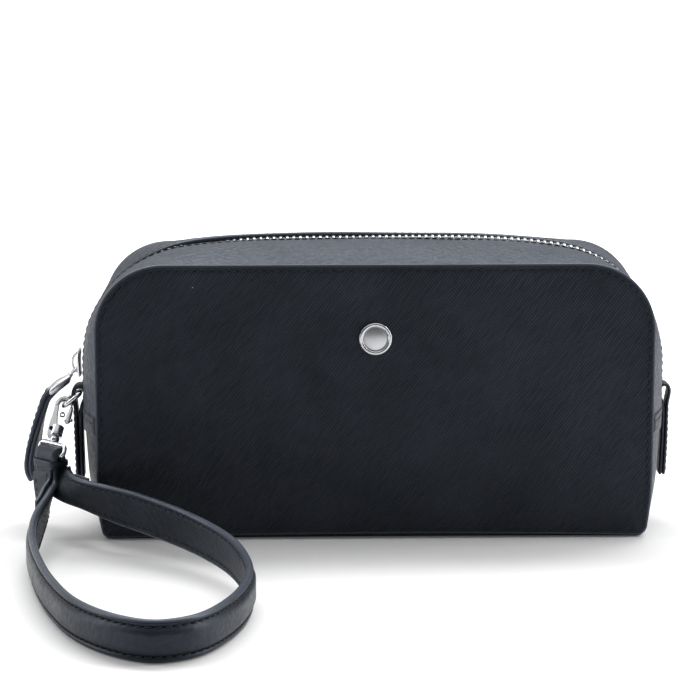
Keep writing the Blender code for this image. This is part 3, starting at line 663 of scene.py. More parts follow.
PANEL_PRINT = textured_finish("printed_panel_leather", "hatch", INK, (0.0250, 0.0280, 0.0370),
                              0.52, 0.20, specular=0.29, turn=37.0, flat=True, dust=0.7, Lines=355.0)
GUSSET_GRAIN = textured_finish("fine_grain_leather", "grain", (0.0110, 0.0135, 0.0190),
                               (0.0400, 0.0465, 0.0620), 0.50, 0.42, specular=0.37, dust=0.5,
                               Cells=620.0)
STRAP_PRINT = textured_finish("printed_strap_leather", "hatch", INK, (0.0270, 0.0310, 0.0410), 0.46,
                              0.15, specular=0.36, on_sheet=True, turn=48.0, Lines=370.0)
STRAP_SMOOTH = textured_finish("smooth_strap_leather", "grain", INK, (0.0215, 0.0250, 0.0335), 0.44,
                               0.12, specular=0.34, dust=0.3, Cells=600.0)
# Painted shade: the gusset's own leather in darker colours, so the side patches and base read as shaded.
SHADED_PATCH_GRAIN = textured_finish("side_patch_leather_painted_shade", "grain", (0.0070, 0.0085, 0.0120),
                              (0.0210, 0.0240, 0.0320), 0.50, 0.30, specular=0.30, dust=0.4,
                              Cells=620.0)
SMALL_LEATHER = textured_finish("tab_leather", "grain", INK, SLATE, 0.48, 0.06, specular=0.40,
                                Cells=1300.0)
# Edge paint in a lighter blue-grey than the leather: partly real edge paint, partly a painted highlight
# where the edges catch the light from above.
EDGE_PAINT_AND_HIGHLIGHT = textured_finish("edge_paint_and_painted_highlight", "grain", (0.034, 0.040, 0.054),
                             (0.050, 0.058, 0.076), 0.42, 0.02, specular=0.5, Cells=700.0)
DARK_EDGE = textured_finish("black_leather_edge", "grain", INK, SLATE, 0.40, 0.02, specular=0.5,
                            Cells=700.0)
THREAD = textured_finish("waxed_thread", "weave", (0.010, 0.012, 0.016), (0.030, 0.034, 0.044),
                         0.55, 0.03, specular=0.35, turn=35.0, Threads=1500.0)
# Near-black: the gusset's black thread, and also painted shade in the needle holes and in the hook
# plate's notch.
BLACK_THREAD_AND_SHADE = textured_finish("black_thread_and_painted_shade", "weave", (0.001, 0.001, 0.002), (0.006, 0.006, 0.008),
                               0.70, 0.03, specular=0.15, turn=35.0, Threads=1500.0)
LINING = textured_finish("lining_cloth", "weave", (0.010, 0.011, 0.014), (0.045, 0.048, 0.056),
                         0.80, 0.06, specular=0.25, on_sheet=True, turn=45.0, Threads=620.0)
TAPE = textured_finish("zip_tape_cloth", "weave", (0.004, 0.005, 0.007), (0.016, 0.018, 0.023),
                       0.85, 0.06, specular=0.15, on_sheet=True, Threads=800.0)
CARD = textured_finish("grey_board", "grain", (0.16, 0.13, 0.10), (0.30, 0.25, 0.19), 0.85, 0.05,
                       specular=0.3, tint=(1.0, 1.0, 1.0), Cells=500.0)
TOOTH_METAL = metal_finish("tooth_metal", (0.74, 0.75, 0.77), 0.24)
BRIGHT_METAL = metal_finish("bright_metal", (0.70, 0.71, 0.73), 0.20)
CAP_METAL = metal_finish("soft_metal", (0.66, 0.67, 0.69), 0.36)
SPRING_METAL = metal_finish("spring_wire", (0.42, 0.42, 0.44), 0.28)
RIM_METAL = metal_finish("badge_rim_metal", (0.66, 0.67, 0.69), 0.10)
SATIN_METAL = metal_finish("badge_satin_metal", (0.62, 0.63, 0.65), 0.32, brushed=0.012)


# ---------------------------------------------------------------- outlines of the pouch

def from_nearer_end(run):
    """Distance along the zip line from its nearer end, and -1 on the right half, else 1."""
    run = np.asarray(run, float)
    right = run > WHOLE_RUN / 2
    return np.where(right, WHOLE_RUN - run, run), np.where(right, -1.0, 1.0)


def zip_line(run):
    """Points (x, z) and outward directions on the teeth's line, by distance along it.

    Straight up the left side, round a corner of 80 degrees, over the top as
    ARCH_RISE * (1 - |x / HALF_TOP|^k), and the same mirrored on the right.
    """
    run, mirror = from_nearer_end(run)
    angle = np.clip((run - SIDE_RUN) / CORNER_R, 0.0, CORNER_TURN)
    x = -CORNER_X - CORNER_R * np.cos(angle)
    z = CORNER_Z + CORNER_R * np.sin(angle) + np.minimum(run - SIDE_RUN, 0.0)
    over = np.clip(run - SIDE_RUN - BEND_RUN, 0.0, HALF_TOP)
    share = 1.0 - over / HALF_TOP
    power = HALF_TOP / math.tan(CORNER_TURN) / ARCH_RISE
    slope = np.where(over > 0.0, ARCH_RISE * power * share ** (power - 1.0) / HALF_TOP, 0.0)
    x = np.where(over > 0.0, -HALF_TOP * share, x)
    z = z + np.where(over > 0.0, ARCH_RISE * (1.0 - share ** power), 0.0)
    out_x = np.where(over > 0.0, -slope / np.hypot(slope, 1.0), -np.cos(angle))
    out_z = np.where(over > 0.0, 1.0 / np.hypot(slope, 1.0), np.sin(angle))
    return np.stack([x * mirror, z], -1), np.stack([out_x * mirror, out_z], -1)


def panel_edge(run):
    """Point (x, z) on the panel's edge that faces zip_line(run)."""
    run, mirror = from_nearer_end(run)
    inner_x = HALF_WIDTH - PANEL_CORNER
    inner_z = PANEL_HEIGHT - PANEL_CORNER
    rise = np.where(run < 0.0, run, np.clip(run / SIDE_RUN, 0.0, 1.0) * (inner_z - FOLD_Z))
    angle = np.clip((run - SIDE_RUN) / BEND_RUN, 0.0, 1.0) * np.pi / 2
    over = np.clip((run - SIDE_RUN - BEND_RUN) / HALF_TOP, 0.0, 1.0)
    x = -inner_x * (1.0 - over) - PANEL_CORNER * np.cos(angle)
    z = FOLD_Z + rise + PANEL_CORNER * np.sin(angle)
    return np.stack([x * mirror, z], -1)


def gusset_share(y):
    """How far the gusset has swung from the panel's edge (0) out to the zip line (1)."""
    return 1.0 - (np.abs(y) / STRIP_Y) ** 2


def crest_height(run, side):
    """How far a strip stands outside the teeth: the front one stands up round the left corner."""
    if side > 0:
        return OVER_TEETH + 0.45 * ease(run, 60.0, 78.0) * (1.0 - ease(run, 120.0, 190.0))
    corner = ease(run, 16.0, 30.0) * (1.0 - ease(run, 72.0, 90.0))
    right = ease(run, 150.0, 175.0) * (1.0 - ease(run, 250.0, 268.0))
    return OVER_TEETH + 0.45 * corner - 0.25 * right


def teeth_lift(run):
    """The teeth sink where the top starts and stand a little proud towards the right."""
    sunk = ease(run, 71.0, 77.0) * (1.0 - ease(run, 79.0, 96.0))
    return 0.22 * ease(run, 120.0, 165.0) * (1.0 - ease(run, 255.0, 268.0)) - 0.75 * sunk


def strip_skin(run, depth, side=1):
    """(x, z) on the gusset strip's outer face, this far from the zip's middle."""
    teeth, out = zip_line(run)
    crest = teeth + crest_height(run, side)[..., None] * out
    edge = panel_edge(run)
    share = (gusset_share(depth) / gusset_share(CHANNEL))[..., None]
    return edge + (crest - edge) * share


def side_x(y, z):
    """Half width of the pouch on the side patches."""
    height = np.clip(z, 0.0, None) / FOLD_Z
    drawn_in = TAPER * np.clip(1.0 - z / TAPER_TOP, 0.0, 1.0) ** 2
    return HALF_WIDTH - drawn_in + SIDE_BULGE * height ** 0.4 * gusset_share(y)


# ---------------------------------------------------------------- pouch

def panel_outline(inset, shrink=1.0):
    """Closed outline of a panel, moved in by inset and drawn towards its middle by shrink.

    Straight edges and four corner arcs; the bottom edge rises by BASE_RISE * (1 - (x / half)^2),
    where the base shows below it, and the sides draw in by TAPER * (1 - z / TAPER_TOP)^2.
    """
    half = HALF_WIDTH - inset
    top_r = PANEL_CORNER - inset
    foot_r = max(PANEL_FOOT - inset, 0.05)
    top = PANEL_HEIGHT - inset
    low = FOOT_LIFT + inset
    arc_small = np.radians(np.linspace(0.0, 90.0, 6))
    arc_large = np.radians(np.linspace(0.0, 90.0, 22))
    bottom = np.linspace(-half + foot_r, half - foot_r, 90)[:-1]
    side = np.linspace(low + foot_r, top - top_r, 34)[:-1]
    crown = np.linspace(half - top_r, -half + top_r, 70)[:-1]
    x = np.concatenate([bottom, half - foot_r + foot_r * np.sin(arc_small[:-1]),
                        np.full(len(side), half),
                        half - top_r + top_r * np.cos(arc_large[:-1]), crown,
                        -half + top_r - top_r * np.sin(arc_large[:-1]),
                        np.full(len(side), -half),
                        -half + foot_r - foot_r * np.cos(arc_small[:-1])])
    z = np.concatenate([np.full(len(bottom), low), low + foot_r - foot_r * np.cos(arc_small[:-1]),
                        side, top - top_r + top_r * np.sin(arc_large[:-1]),
                        np.full(len(crown), top),
                        top - top_r + top_r * np.cos(arc_large[:-1]), side[::-1],
                        low + foot_r - foot_r * np.sin(arc_small[:-1])])
    low_share = np.clip(1.0 - z / 12.0, 0.0, 1.0)
    z = z + BASE_RISE * np.clip(1.0 - (x / HALF_WIDTH) ** 2, 0.0, 1.0) * low_share
    x = x * (1.0 - TAPER / HALF_WIDTH * np.clip(1.0 - z / TAPER_TOP, 0.0, 1.0) ** 2)
    middle = PANEL_HEIGHT / 2
    return np.stack([x * shrink, middle + (z - middle) * shrink], -1)


def pressed(z):
    """Share of its thickness that a panel has lost: PRESSED * (1 - z / PRESSED_TOP)^2."""
    return PRESSED * np.clip(1.0 - z / PRESSED_TOP, 0.0, 1.0) ** 2


def build_panel(side, label):
    """One face of the pouch: a leather panel with a sewn border and round edges in lightened edge paint,
    which is partly a painted highlight.

    Rings of the outline run from the middle of the outer face, over the round edge, to the
    middle of the inner face.  The face sinks by 0.3 along the stitches, and thins towards the ground.
    """
    half = PANEL_THICK / 2
    rings, tones = [], []

    def add(inset, height, shrink=1.0, painted=0):
        outline = panel_outline(inset, shrink)
        left = 1.0 - pressed(outline[:, 1])
        y = side * (HALF_DEPTH - PANEL_THICK + (height + half) * left)
        rings.append(np.stack([outline[:, 0], y, outline[:, 1]], -1))
        tones.append(painted)

    for shrink in np.linspace(0.03, 0.97, 24):
        add(2.9, half, shrink)
    for inset, sink in ((2.9, 0.0), (2.5, 0.05), (2.3, 0.20), (2.1, 0.30), (1.9, 0.20),
                        (1.7, 0.05), (1.2, 0.02), (0.7, 0.02)):
        add(inset, half - sink)
    # The rings over the round edge take the lighter edge paint, partly a painted highlight.
    for turn in np.radians(np.linspace(10.0, 90.0, 5)):
        add(EDGE_ROUND * (1.0 - math.sin(turn)), half - EDGE_ROUND * (1.0 - math.cos(turn)) - 0.02,
            painted=1)
    for turn in np.radians(np.linspace(90.0, 10.0, 4)):
        add(EDGE_ROUND * (1.0 - math.sin(turn)), -half + EDGE_ROUND * (1.0 - math.cos(turn)),
            painted=1)
    for inset in (1.2, 2.9):
        add(inset, -half)
    for shrink in (0.75, 0.5, 0.25, 0.03):
        add(2.9, -half, shrink)
    rings = np.asarray(rings)
    piece = loft_piece(label + "_panel", rings, [PANEL_PRINT, EDGE_PAINT_AND_HIGHLIGHT])
    columns = rings.shape[1]
    row_paint = np.array([int(a or b) for a, b in zip(tones[:-1], tones[1:])])
    paint = np.concatenate([np.repeat(row_paint, columns), np.zeros(2 * columns, int)])
    piece.data.polygons.foreach_set("material_index", paint.astype(np.int32))
    rides(piece, ("pouch", label + "_lip"),
          (label + "_panel_lower", label + "_panel_upper"))

    outline = panel_outline(STITCH_INSET)
    sewn = outline[np.argsort(np.arctan2(outline[:, 0], -(outline[:, 1] - 40.0)))]
    steps = np.linalg.norm(np.diff(sewn, axis=0), axis=1)
    run = np.concatenate([[0.0], np.cumsum(steps)])
    places = even_places(0.0, run[-1])
    xz = np.stack([np.interp(places, run, sewn[:, 0]), np.interp(places, run, sewn[:, 1])], -1)
    keep = xz[:, 1] > 5.0
    xz = xz[keep]
    along2 = unit(np.gradient(xz, axis=0))
    along = np.stack([along2[:, 0], np.zeros(len(xz)), along2[:, 1]], -1)
    out = np.broadcast_to(np.array((0.0, side, 0.0)), along.shape)
    axes = np.stack([along, np.cross(out, along), out], axis=1)
    y = side * (HALF_DEPTH - 0.16 - PANEL_THICK * pressed(xz[:, 1]))
    place = np.stack([xz[:, 0], y, xz[:, 1]], -1)
    thread = copies_piece(label + "_panel_stitches", stitch_shape(), place, axes, [THREAD])
    rides(thread, ("pouch", label + "_lip"))
    # Needle holes: small near-black discs between the stitches, painted shade in the holes.
    sunk = np.array((0.0, -side * 0.12, 0.0))
    holes = copies_piece(label + "_panel_needle_hole_shade", hole_shape(), between(place) + sunk,
                         axes[:-1], [BLACK_THREAD_AND_SHADE])
    rides(holes, ("pouch", label + "_lip"))


def build_gusset_strip(side, label):
    """Leather strip from the panel's edge over to its side of the zip channel.

    The outer face is strip_skin with faint creases where it turns the corners.
    """
    length = WHOLE_RUN + 2 * PAST_MOUTH
    seam_y = STRIP_Y + STRIP_TUCK
    width = seam_y - CHANNEL
    sewn = width - (2.3 if side < 0 else 1.7)

    def skin(u, v):
        depth = seam_y - v
        xz = strip_skin(u - PAST_MOUTH, depth, side)
        return np.stack([xz[..., 0], side * depth, xz[..., 1]], -1)

    def relief(u, v):
        """Small folds across each corner, a slow waviness, and the sunk row of stitches."""
        run = u - PAST_MOUTH
        bend = SIDE_RUN + 38.0
        corner = bump_line(run, bend, 22.0) + bump_line(run, WHOLE_RUN - bend, 22.0)
        across = ease(v, 2.0, 9.0) * (1 - ease(v, 15.0, 20.0))
        folds = 0.10 * corner * np.sin(run * 0.9 + v * 0.55) * across
        slow = 0.10 * np.sin(run * 0.13 + 0.7 * side) * np.sin(v * 0.22 + 0.4)
        return folds + slow - 0.26 * bump_line(v, sewn, 0.40)

    piece = sheet_piece(label + "_gusset", skin, length, width, LEATHER, [GUSSET_GRAIN, EDGE_PAINT_AND_HIGHLIGHT],
                        spacing=(1.6, 1.6), facing=-side, relief=relief, marks=(sewn,))
    body = ("pouch", label + "_lip")
    rides(piece, body, (label + "_gusset_strip",))
    u = even_places(PAST_MOUTH, length - PAST_MOUTH, 2.7)
    thread = stitches(label + "_gusset_stitches", skin, u, sewn, [BLACK_THREAD_AND_SHADE], facing=-side,
                      lift=-0.08 if side < 0 else -0.30)
    rides(thread, body)


def build_side_patches():
    """Side patches and base in one strip of leather: down the left, under, and up the right.

    Its top edges are turned over and sewn, so they are thicker down to the row of stitches.
    """
    top = FOLD_Z - 0.3
    drop = top - PANEL_FOOT
    bend = PANEL_FOOT * math.pi / 2
    under = 2 * (HALF_WIDTH - PANEL_FOOT)
    length = 2 * (drop + bend) + under
    width = 2 * STRIP_Y

    def skin(u, v):
        y = v - STRIP_Y
        right = u > length / 2
        run = np.where(right, length - u, u)
        mirror = np.where(right, 1.0, -1.0)
        z_side = top - run
        reach = side_x(y, np.full_like(y, PANEL_FOOT)) - PANEL_FOOT
        angle = np.clip((run - drop) / bend, 0.0, 1.0) * np.pi / 2
        along = np.clip((run - drop - bend) / (under / 2), 0.0, 1.0)
        x = np.where(run < drop, side_x(y, z_side),
                     (reach + PANEL_FOOT * np.cos(angle)) * (1.0 - along))
        z = np.where(run < drop, z_side, PANEL_FOOT * (1.0 - np.sin(angle)))
        lift = BASE_BELLY * (np.abs(y) / STRIP_Y) ** 8 * (1.0 - (x / 104.0) ** 2)
        z = z + np.where(run > drop + bend, lift * ease(along, 0.0, 0.05), 0.0)
        return np.stack([x * mirror, y, z], -1)

    def relief(u, v):
        run = np.minimum(u, length - u)
        hem = 0.55 * (1.0 - ease(run, 6.2, 7.4))
        sewn = 0.22 * bump_line(run, 2.9, 0.35)
        sag = 0.25 * np.sin(v * 0.16) * bump_line(run, 24.0, 14.0)
        return hem - sewn + sag

    marks = (2.9, 6.8, length - 2.9, length - 6.8)
    # The side patches and base take the darker copy of the gusset leather, which is painted shade.
    piece = sheet_piece("side_patches_and_base", skin, length, width, LEATHER,
                        [SHADED_PATCH_GRAIN, SHADED_PATCH_GRAIN], spacing=(2.2, 1.8), facing=-1.0,
                        relief=relief, end_marks=marks)
    rides(piece, "pouch", ("lower_gusset",))
    v = even_places(2.0, width - 2.0, 2.7)
    for u, end in ((2.9, "left"), (length - 2.9, "right")):
        thread = stitches(end + "_patch_stitches", skin, np.full(len(v), u), v, [THREAD],
                          facing=-1.0, lift=0.35)
        rides(thread, "pouch")


def build_linings():
    """Cloth linings: one for each lip, and a sack with soft folds in the pouch."""
    length = WHOLE_RUN + 2 * PAST_MOUTH
    across = STRIP_Y - 5.6
    reach = 46.0                # from the panel's edge down to the bend

    for side, label in ((-1, "front"), (1, "back")):
        def skin(u, v, side=side):
            """Under the strip, let into the panel's lining along v = 0."""
            run = u - PAST_MOUTH
            depth = np.clip(STRIP_Y - 0.5 - v, 5.1, None)
            _, out = zip_line(run)
            edge = panel_edge(run)
            side_part = strip_skin(run, depth, side) - 2.1 * out
            fade = ease(v, -3.0, 3.0)[..., None]
            inside = edge + (np.array((0.0, FOLD_Z)) - edge) * 0.03
            xz = inside * (1 - fade) + side_part * fade
            return np.stack([xz[..., 0], side * depth, xz[..., 1]], -1)

        def flat(u, v, side=side):
            """Behind the panel: from its edge towards the middle of the bend, softly waved."""
            run = u - PAST_MOUTH
            edge = panel_edge(run)
            target = np.stack([edge[..., 0] * 0.8, np.full_like(run, BEND_LOW_Z)], -1)
            share = np.clip(v / reach, -0.02, 1.0)[..., None] * 0.985 + 0.025
            xz = edge + (target - edge) * share
            soft = 0.25 * np.sin(xz[..., 0] * 0.11) * np.sin(xz[..., 1] * 0.14)
            depth = STRIP_Y - 0.7 - soft
            return np.stack([xz[..., 0], side * depth, xz[..., 1]], -1)

        body = ("pouch", label + "_lip")
        gusset = sheet_piece(label + "_gusset_lining", skin, length, across, CLOTH, [LINING],
                             spacing=(2.5, 2.5), facing=side)
        rides(gusset, body)
        face = sheet_piece(label + "_panel_lining", flat, length, reach, CLOTH, [LINING],
                           spacing=(2.5, 3.0), facing=-side)
        rides(face, body, (label + "_lining_upper",))

    half_x, half_y, floor, rim = 94.6, 25.4, 4.6, 40.0
    around, to_wall, up_wall = 400.0, 60.0, 36.0

    def sack(u, v):
        """v runs from the middle of the floor out to the walls and up; u goes round."""
        turn = u / around * 2 * np.pi
        square = 0.16
        x = np.sign(np.cos(turn)) * np.abs(np.cos(turn)) ** square
        y = np.sign(np.sin(turn)) * np.abs(np.sin(turn)) ** square
        flat_part = np.clip(v / to_wall, 0.015, 1.0)
        up = np.clip(v - to_wall, 0.0, None)
        fold = 0.5 * np.sin(turn * 14.0) * ease(up, 0.0, 10.0) * (1.0 - ease(up, 20.0, 34.0))
        round_in = 1.5 * (1.0 - ease(up, 0.0, 4.0)) * ease(v, 50.0, to_wall)
        return np.stack([x * (half_x * flat_part - round_in - fold - 0.3),
                         y * (half_y * flat_part - round_in - fold - 0.3),
                         floor + up * (rim - floor) / up_wall + 0.2 * np.sin(x * 9.0) * flat_part],
                        -1)

    lower = sheet_piece("lower_lining_sack", sack, around, to_wall + up_wall, CLOTH, [LINING],
                        spacing=(2.0, 3.0), ring=True)
    rides(lower, "pouch", ("lower_lining",))


def build_base_board():
    """Stiffening board under the lining, with rounded corners and edges."""
    half_x, half_y, low, thick = 93.0, 25.6, 2.1, 1.5

    def face(u, v):
        return np.stack([u - half_x, v - half_y, np.full_like(u, low + thick)], -1)

    board = sheet_piece("stiffening_board", face, 2 * half_x, 2 * half_y, thick, [CARD],
                        spacing=(6.0, 6.0))
    rides(board, "pouch", ("base_board",))


def build_badge():
    """Plain round badge: a polished rim round a softly domed satin disc."""
    front = -HALF_DEPTH - 0.05
    centre = (0.0, front, BADGE_HEIGHT)
    out = (0.0, -1.0, 0.0)
    wide, high = BADGE_RIM
    turn = np.linspace(0.0, 2 * np.pi, 24, endpoint=False)
    profile = np.stack([BADGE_RADIUS + wide * np.sin(turn), high - high * np.cos(turn)], -1)
    angle = np.linspace(0.0, 2 * np.pi, 96, endpoint=False)
    spoke = np.stack([np.cos(angle), np.zeros(96), np.sin(angle)], -1)
    rings = np.array(centre) + spoke[:, None] * profile[:, 0][None, :, None] \
        + np.array(out) * profile[:, 1][None, :, None]
    ring = loft_piece("badge_rim", rings, [RIM_METAL], ring=True)
    rides(ring, "front_lip", ("emblem_ring",))
    dome = [(r, 0.45 + 0.50 * (1.0 - (r / BADGE_DISC) ** 2))
            for r in np.linspace(0.02, BADGE_DISC, 14)]
    profile = dome + [(4.1, 0.40), (4.2, 0.30), (4.2, 0.02), (0.02, 0.02)]
    disc = turned_piece("badge_face", profile, centre, out, [SATIN_METAL], sides=72)
    rides(disc, "front_lip", ("emblem_face",))


# ---------------------------------------------------------------- zip

def build_zip_half(side, label):
    """One side of the zip: woven tape with a corded edge, its teeth, and its stop."""
    low = 2.0
    length = WHOLE_RUN - 2 * low
    body = ("pouch", label + "_lip")

    def tape(u, v):
        """Flat under the strip, then level with the teeth towards its corded edge."""
        run = u + low
        depth = 12.0 - v
        teeth, out = zip_line(run)
        under_strip = strip_skin(run, depth, side) - 2.4 * out
        at_teeth = teeth + (teeth_lift(run)[..., None] - 0.55) * out
        share = ease(depth, 3.6, 6.5)[..., None]
        xz = at_teeth * (1 - share) + under_strip * share
        return np.stack([xz[..., 0], side * depth, xz[..., 1]], -1)

    def cord(u, v):
        return 0.28 * bump_line(v, 10.2, 0.5)

    cloth = sheet_piece(label + "_tape", tape, length, 10.9, CLOTH, [TAPE], spacing=(2.2, 1.0),
                        facing=-side, relief=cord, marks=(10.0,))
    rides(cloth, body, (label + "_zip_tape",))

    offset = 0.0 if side < 0 else TOOTH_PITCH / 2
    first = ZIP_LOW_Z - FOLD_Z + 0.8
    count = int((WHOLE_RUN - 2 * first) / TOOTH_PITCH)
    run = first + offset + np.arange(count) * TOOTH_PITCH
    teeth, out = zip_line(run)
    teeth = teeth + teeth_lift(run)[..., None] * out
    ahead, _ = zip_line(run + 0.1)
    behind, _ = zip_line(run - 0.1)
    along2 = unit(ahead - behind)
    along = np.stack([along2[:, 0], np.zeros(count), along2[:, 1]], -1)
    outward = np.stack([out[:, 0], np.zeros(count), out[:, 1]], -1)
    across = np.broadcast_to(np.array((0.0, float(side), 0.0)), along.shape)
    axes = np.stack([along, across, outward], axis=1)
    place = np.stack([teeth[:, 0], np.zeros(count), teeth[:, 1]], -1)
    # each tooth: rounded blocks from the tape side (far) to the nose past the middle line
    depth = np.array((2.75, 2.6, 1.9, 1.2, 0.55, 0.0, -0.18))
    half_along = np.array((0.45, 0.66, 0.66, 0.52, 0.58, 0.50, 0.25))
    half_out = np.array((0.45, 0.80, 0.92, 0.85, 0.78, 0.62, 0.30))
    corner = loop_section(8, 3.5)
    rings = np.stack([corner[None, :, 0] * half_along[:, None],
                      np.broadcast_to(depth[:, None], (len(depth), 8)),
                      corner[None, :, 1] * half_out[:, None]], -1)
    metal = copies_piece(label + "_teeth", rings, place, axes, [TOOTH_METAL], crease=50.0)
    rides(metal, label + "_lip", (label + "_zip_teeth",))

    stop_line = np.stack([np.full(9, -TEETH_X), side * np.linspace(0.7, 2.6, 9),
                          np.full(9, ZIP_LOW_Z - 1.1)], -1)
    ends = round_ends(9, 3.0)
    stop = bar_piece(label + "_top_stop", stop_line, (0.0, 0.0, 1.0), 0.85 * ends, 0.95 * ends,
                     [TOOTH_METAL], square=3.5)
    rides(stop, label + "_lip", (label + "_zip_top_stop",))


def build_bottom_stop():
    """Metal block across both tapes, where the teeth end on the right."""
    line = np.stack([np.full(15, TEETH_X), np.linspace(-2.6, 2.6, 15),
                     np.full(15, ZIP_LOW_Z - 1.1)], -1)
    ends = round_ends(15, 4.0)
    stop = bar_piece("bottom_stop", line, (0.0, 0.0, 1.0), 0.85 * ends, 0.95 * ends,
                     [TOOTH_METAL], square=3.5)
    rides(stop, "pouch", ("zip_bottom_stop",))


def build_slider():
    """Zip slider: a shield-shaped plate above and below the teeth, a divider, and a bridge."""
    spread = math.radians(6.1)

    def plate_at(radius):
        """A plate bent to this radius round the zip's corner, narrower at both ends."""
        length = 2 * spread * radius

        def face(u, v):
            angle = u / radius - spread
            taper = 1.0 - 0.16 * ease(u, length * 0.45, length)
            taper = taper - 0.10 * ease(-u, -length * 0.25, 0.0)
            x = -CORNER_X - radius * np.cos(angle)
            z = CORNER_Z + radius * np.sin(angle)
            return np.stack([x, (v - 3.9) * taper, z], -1)

        return face, length

    face, length = plate_at(CORNER_R + 2.25)
    upper = sheet_piece("slider_top_plate", face, length, 7.8, 1.1, [BRIGHT_METAL],
                        spacing=(0.6, 0.6), facing=-1.0,
                        relief=lambda u, v: 0.18 * bump_line(v, 3.9, 1.6))
    rides(upper, "slider", ("slider_body",))
    face, length = plate_at(CORNER_R - 1.45)
    under = sheet_piece("slider_under_plate", face, length, 7.8, 0.9, [BRIGHT_METAL],
                        spacing=(0.8, 0.8), facing=-1.0)
    rides(under, "slider")
    angle = math.radians(-4.4)
    out = np.array((-math.cos(angle), 0.0, math.sin(angle)))
    centre = np.array((-CORNER_X, 0.0, CORNER_Z))
    line = centre + out * np.linspace(CORNER_R - 1.9, CORNER_R + 1.6, 7)[:, None]
    post = bar_piece("slider_divider", line, (0.0, 1.0, 0.0), 0.32, 0.9, [BRIGHT_METAL])
    rides(post, "slider")

    turn = np.radians(np.linspace(84.0, 276.0, 33))
    bridge_x = -CORNER_X - CORNER_R - 2.3
    line = np.stack([bridge_x + 2.9 * np.cos(turn), np.zeros(33), CORNER_Z + 3.8 * np.sin(turn)], -1)
    wide = 1.05 - 0.10 * np.abs(np.cos(turn))
    bridge = bar_piece("puller_bridge", line, (0.0, 1.0, 0.0), wide, 0.45, [BRIGHT_METAL], square=3.2,
                       sides=20)
    rides(bridge, "slider", ("slider_bridge",))


# ---------------------------------------------------------------- puller

def build_puller():
    """Zip puller: a wire link, a polished cap, and a doubled leather tongue that hangs from it."""
    across = np.array((0.0, 1.0, 0.0))
    under = np.array((0.617, 0.0, -0.787))
    turn = np.linspace(0.0, 2 * np.pi, 40, endpoint=False)
    run = 1.62 + 2.22 * np.cos(turn)
    line = LINK_AT + PULL_DIR * run[:, None] + across * (2.1 * np.sin(turn))[:, None]
    link = bar_piece("puller_wire_link", line, under, 0.5, 0.5, [BRIGHT_METAL], ring=True, sides=12)
    rides(link, "puller", ("puller_link",))

    bend = [(-107.3, 0.0, 54.3), (-109.9, 0.0, 52.3), (-113.0, 0.0, 49.9), (-116.4, 0.0, 46.9)]
    line, _ = curve_through(bend, 0.3)
    s = np.linspace(-0.995, 0.995, len(line))
    swell = ease(s, -1.0, 0.2)
    ends = (1.0 - np.abs(s) ** 5.0) ** 0.45
    cap = bar_piece("puller_cap", line, across, (2.7 + 2.1 * swell) * ends, (0.8 + 0.95 * swell) * ends,
                    [CAP_METAL], sides=36, square=2.8)
    rides(cap, "puller", ("puller_ferrule",))

    route = [(-108.8, 0.0, 53.1, 2.6), (-111.3, 0.0, 51.2, 3.4), (-114.2, 0.0, 48.8, 4.2),
             (-116.7, 0.0, 45.9, 4.6), (-118.4, 0.0, 41.6, 4.9), (-119.9, 0.0, 36.6, 5.0),
             (-121.2, 0.0, 31.0, 5.0), (-122.3, 0.0, 25.0, 5.0), (-122.7, 0.0, 20.5, 4.7),
             (-122.3, 0.0, 17.5, 3.6), (-121.9, 0.0, 15.4, 1.9)]
    fine, length = curve_through(route, 0.4)
    run = np.linspace(0.0, length, len(fine))
    tangent = unit(np.gradient(fine[:, :3], axis=0))
    outward = np.cross(tangent, across)
    outward = outward * np.sign(1e-9 - outward[:, :1])
    width = 10.0

    def read(u, values):
        """Values along the line, straight between its points."""
        return np.stack([np.interp(u, run, values[:, k]) for k in range(values.shape[1])], -1)

    def middle(u):
        """Points on the tongue's middle line, carried straight on past both ends."""
        over = np.where(u < 0.0, u, np.where(u > length, u - length, 0.0))
        return read(u, fine[:, :3]) + read(u, tangent) * over[..., None]

    def skin(u, v, lift):
        """A face of the tongue, which turns by up to 13 degrees towards its lower end."""
        half = np.interp(u, run, fine[:, 3])
        y = ((v / width - 0.5) * 2.0 * half)[..., None]
        twist = (math.radians(13.0) * ease(u, 14.0, length - 6.0))[..., None]
        out = unit(read(u, outward))
        wide = across * np.cos(twist) - out * np.sin(twist)
        out = out * np.cos(twist) + across * np.sin(twist)
        return middle(u) + out * np.asarray(lift)[..., None] + wide * y

    thick = 1.60
    faces = {"outer": 1.6, "inner": 0.02}
    for label, level in faces.items():
        def face(u, v, level=level):
            return skin(u, v, level * (0.55 + 0.45 * ease(u, 2.0, 9.0)))

        def relief(u, v):
            edge = np.minimum(v, width - v)
            return -0.15 * bump_line(edge, 1.5, 0.3)

        layer = sheet_piece("puller_tongue_" + label, face, length, width, thick,
                            [SMALL_LEATHER, EDGE_PAINT_AND_HIGHLIGHT], spacing=(1.0, 1.0), facing=-1.0,
                            relief=relief if label == "outer" else None,
                            under=relief if label == "inner" else None,
                            marks=(1.5, width - 1.5))
        rides(layer, "puller", ("puller_tab",) if label == "outer" else ())
    for label, sign in (("left", -1.0), ("right", 1.0)):
        u = even_places(9.5, length - 4.0, 2.6)
        v = width / 2 + sign * (width / 2 - 1.6) + 0 * u
        thread = stitches("puller_stitches_" + label, lambda a, b: skin(a, b, 1.6), u, v, [THREAD],
                          facing=-1.0, lift=-0.02)
        rides(thread, "puller")


# ---------------------------------------------------------------- tabs and ring

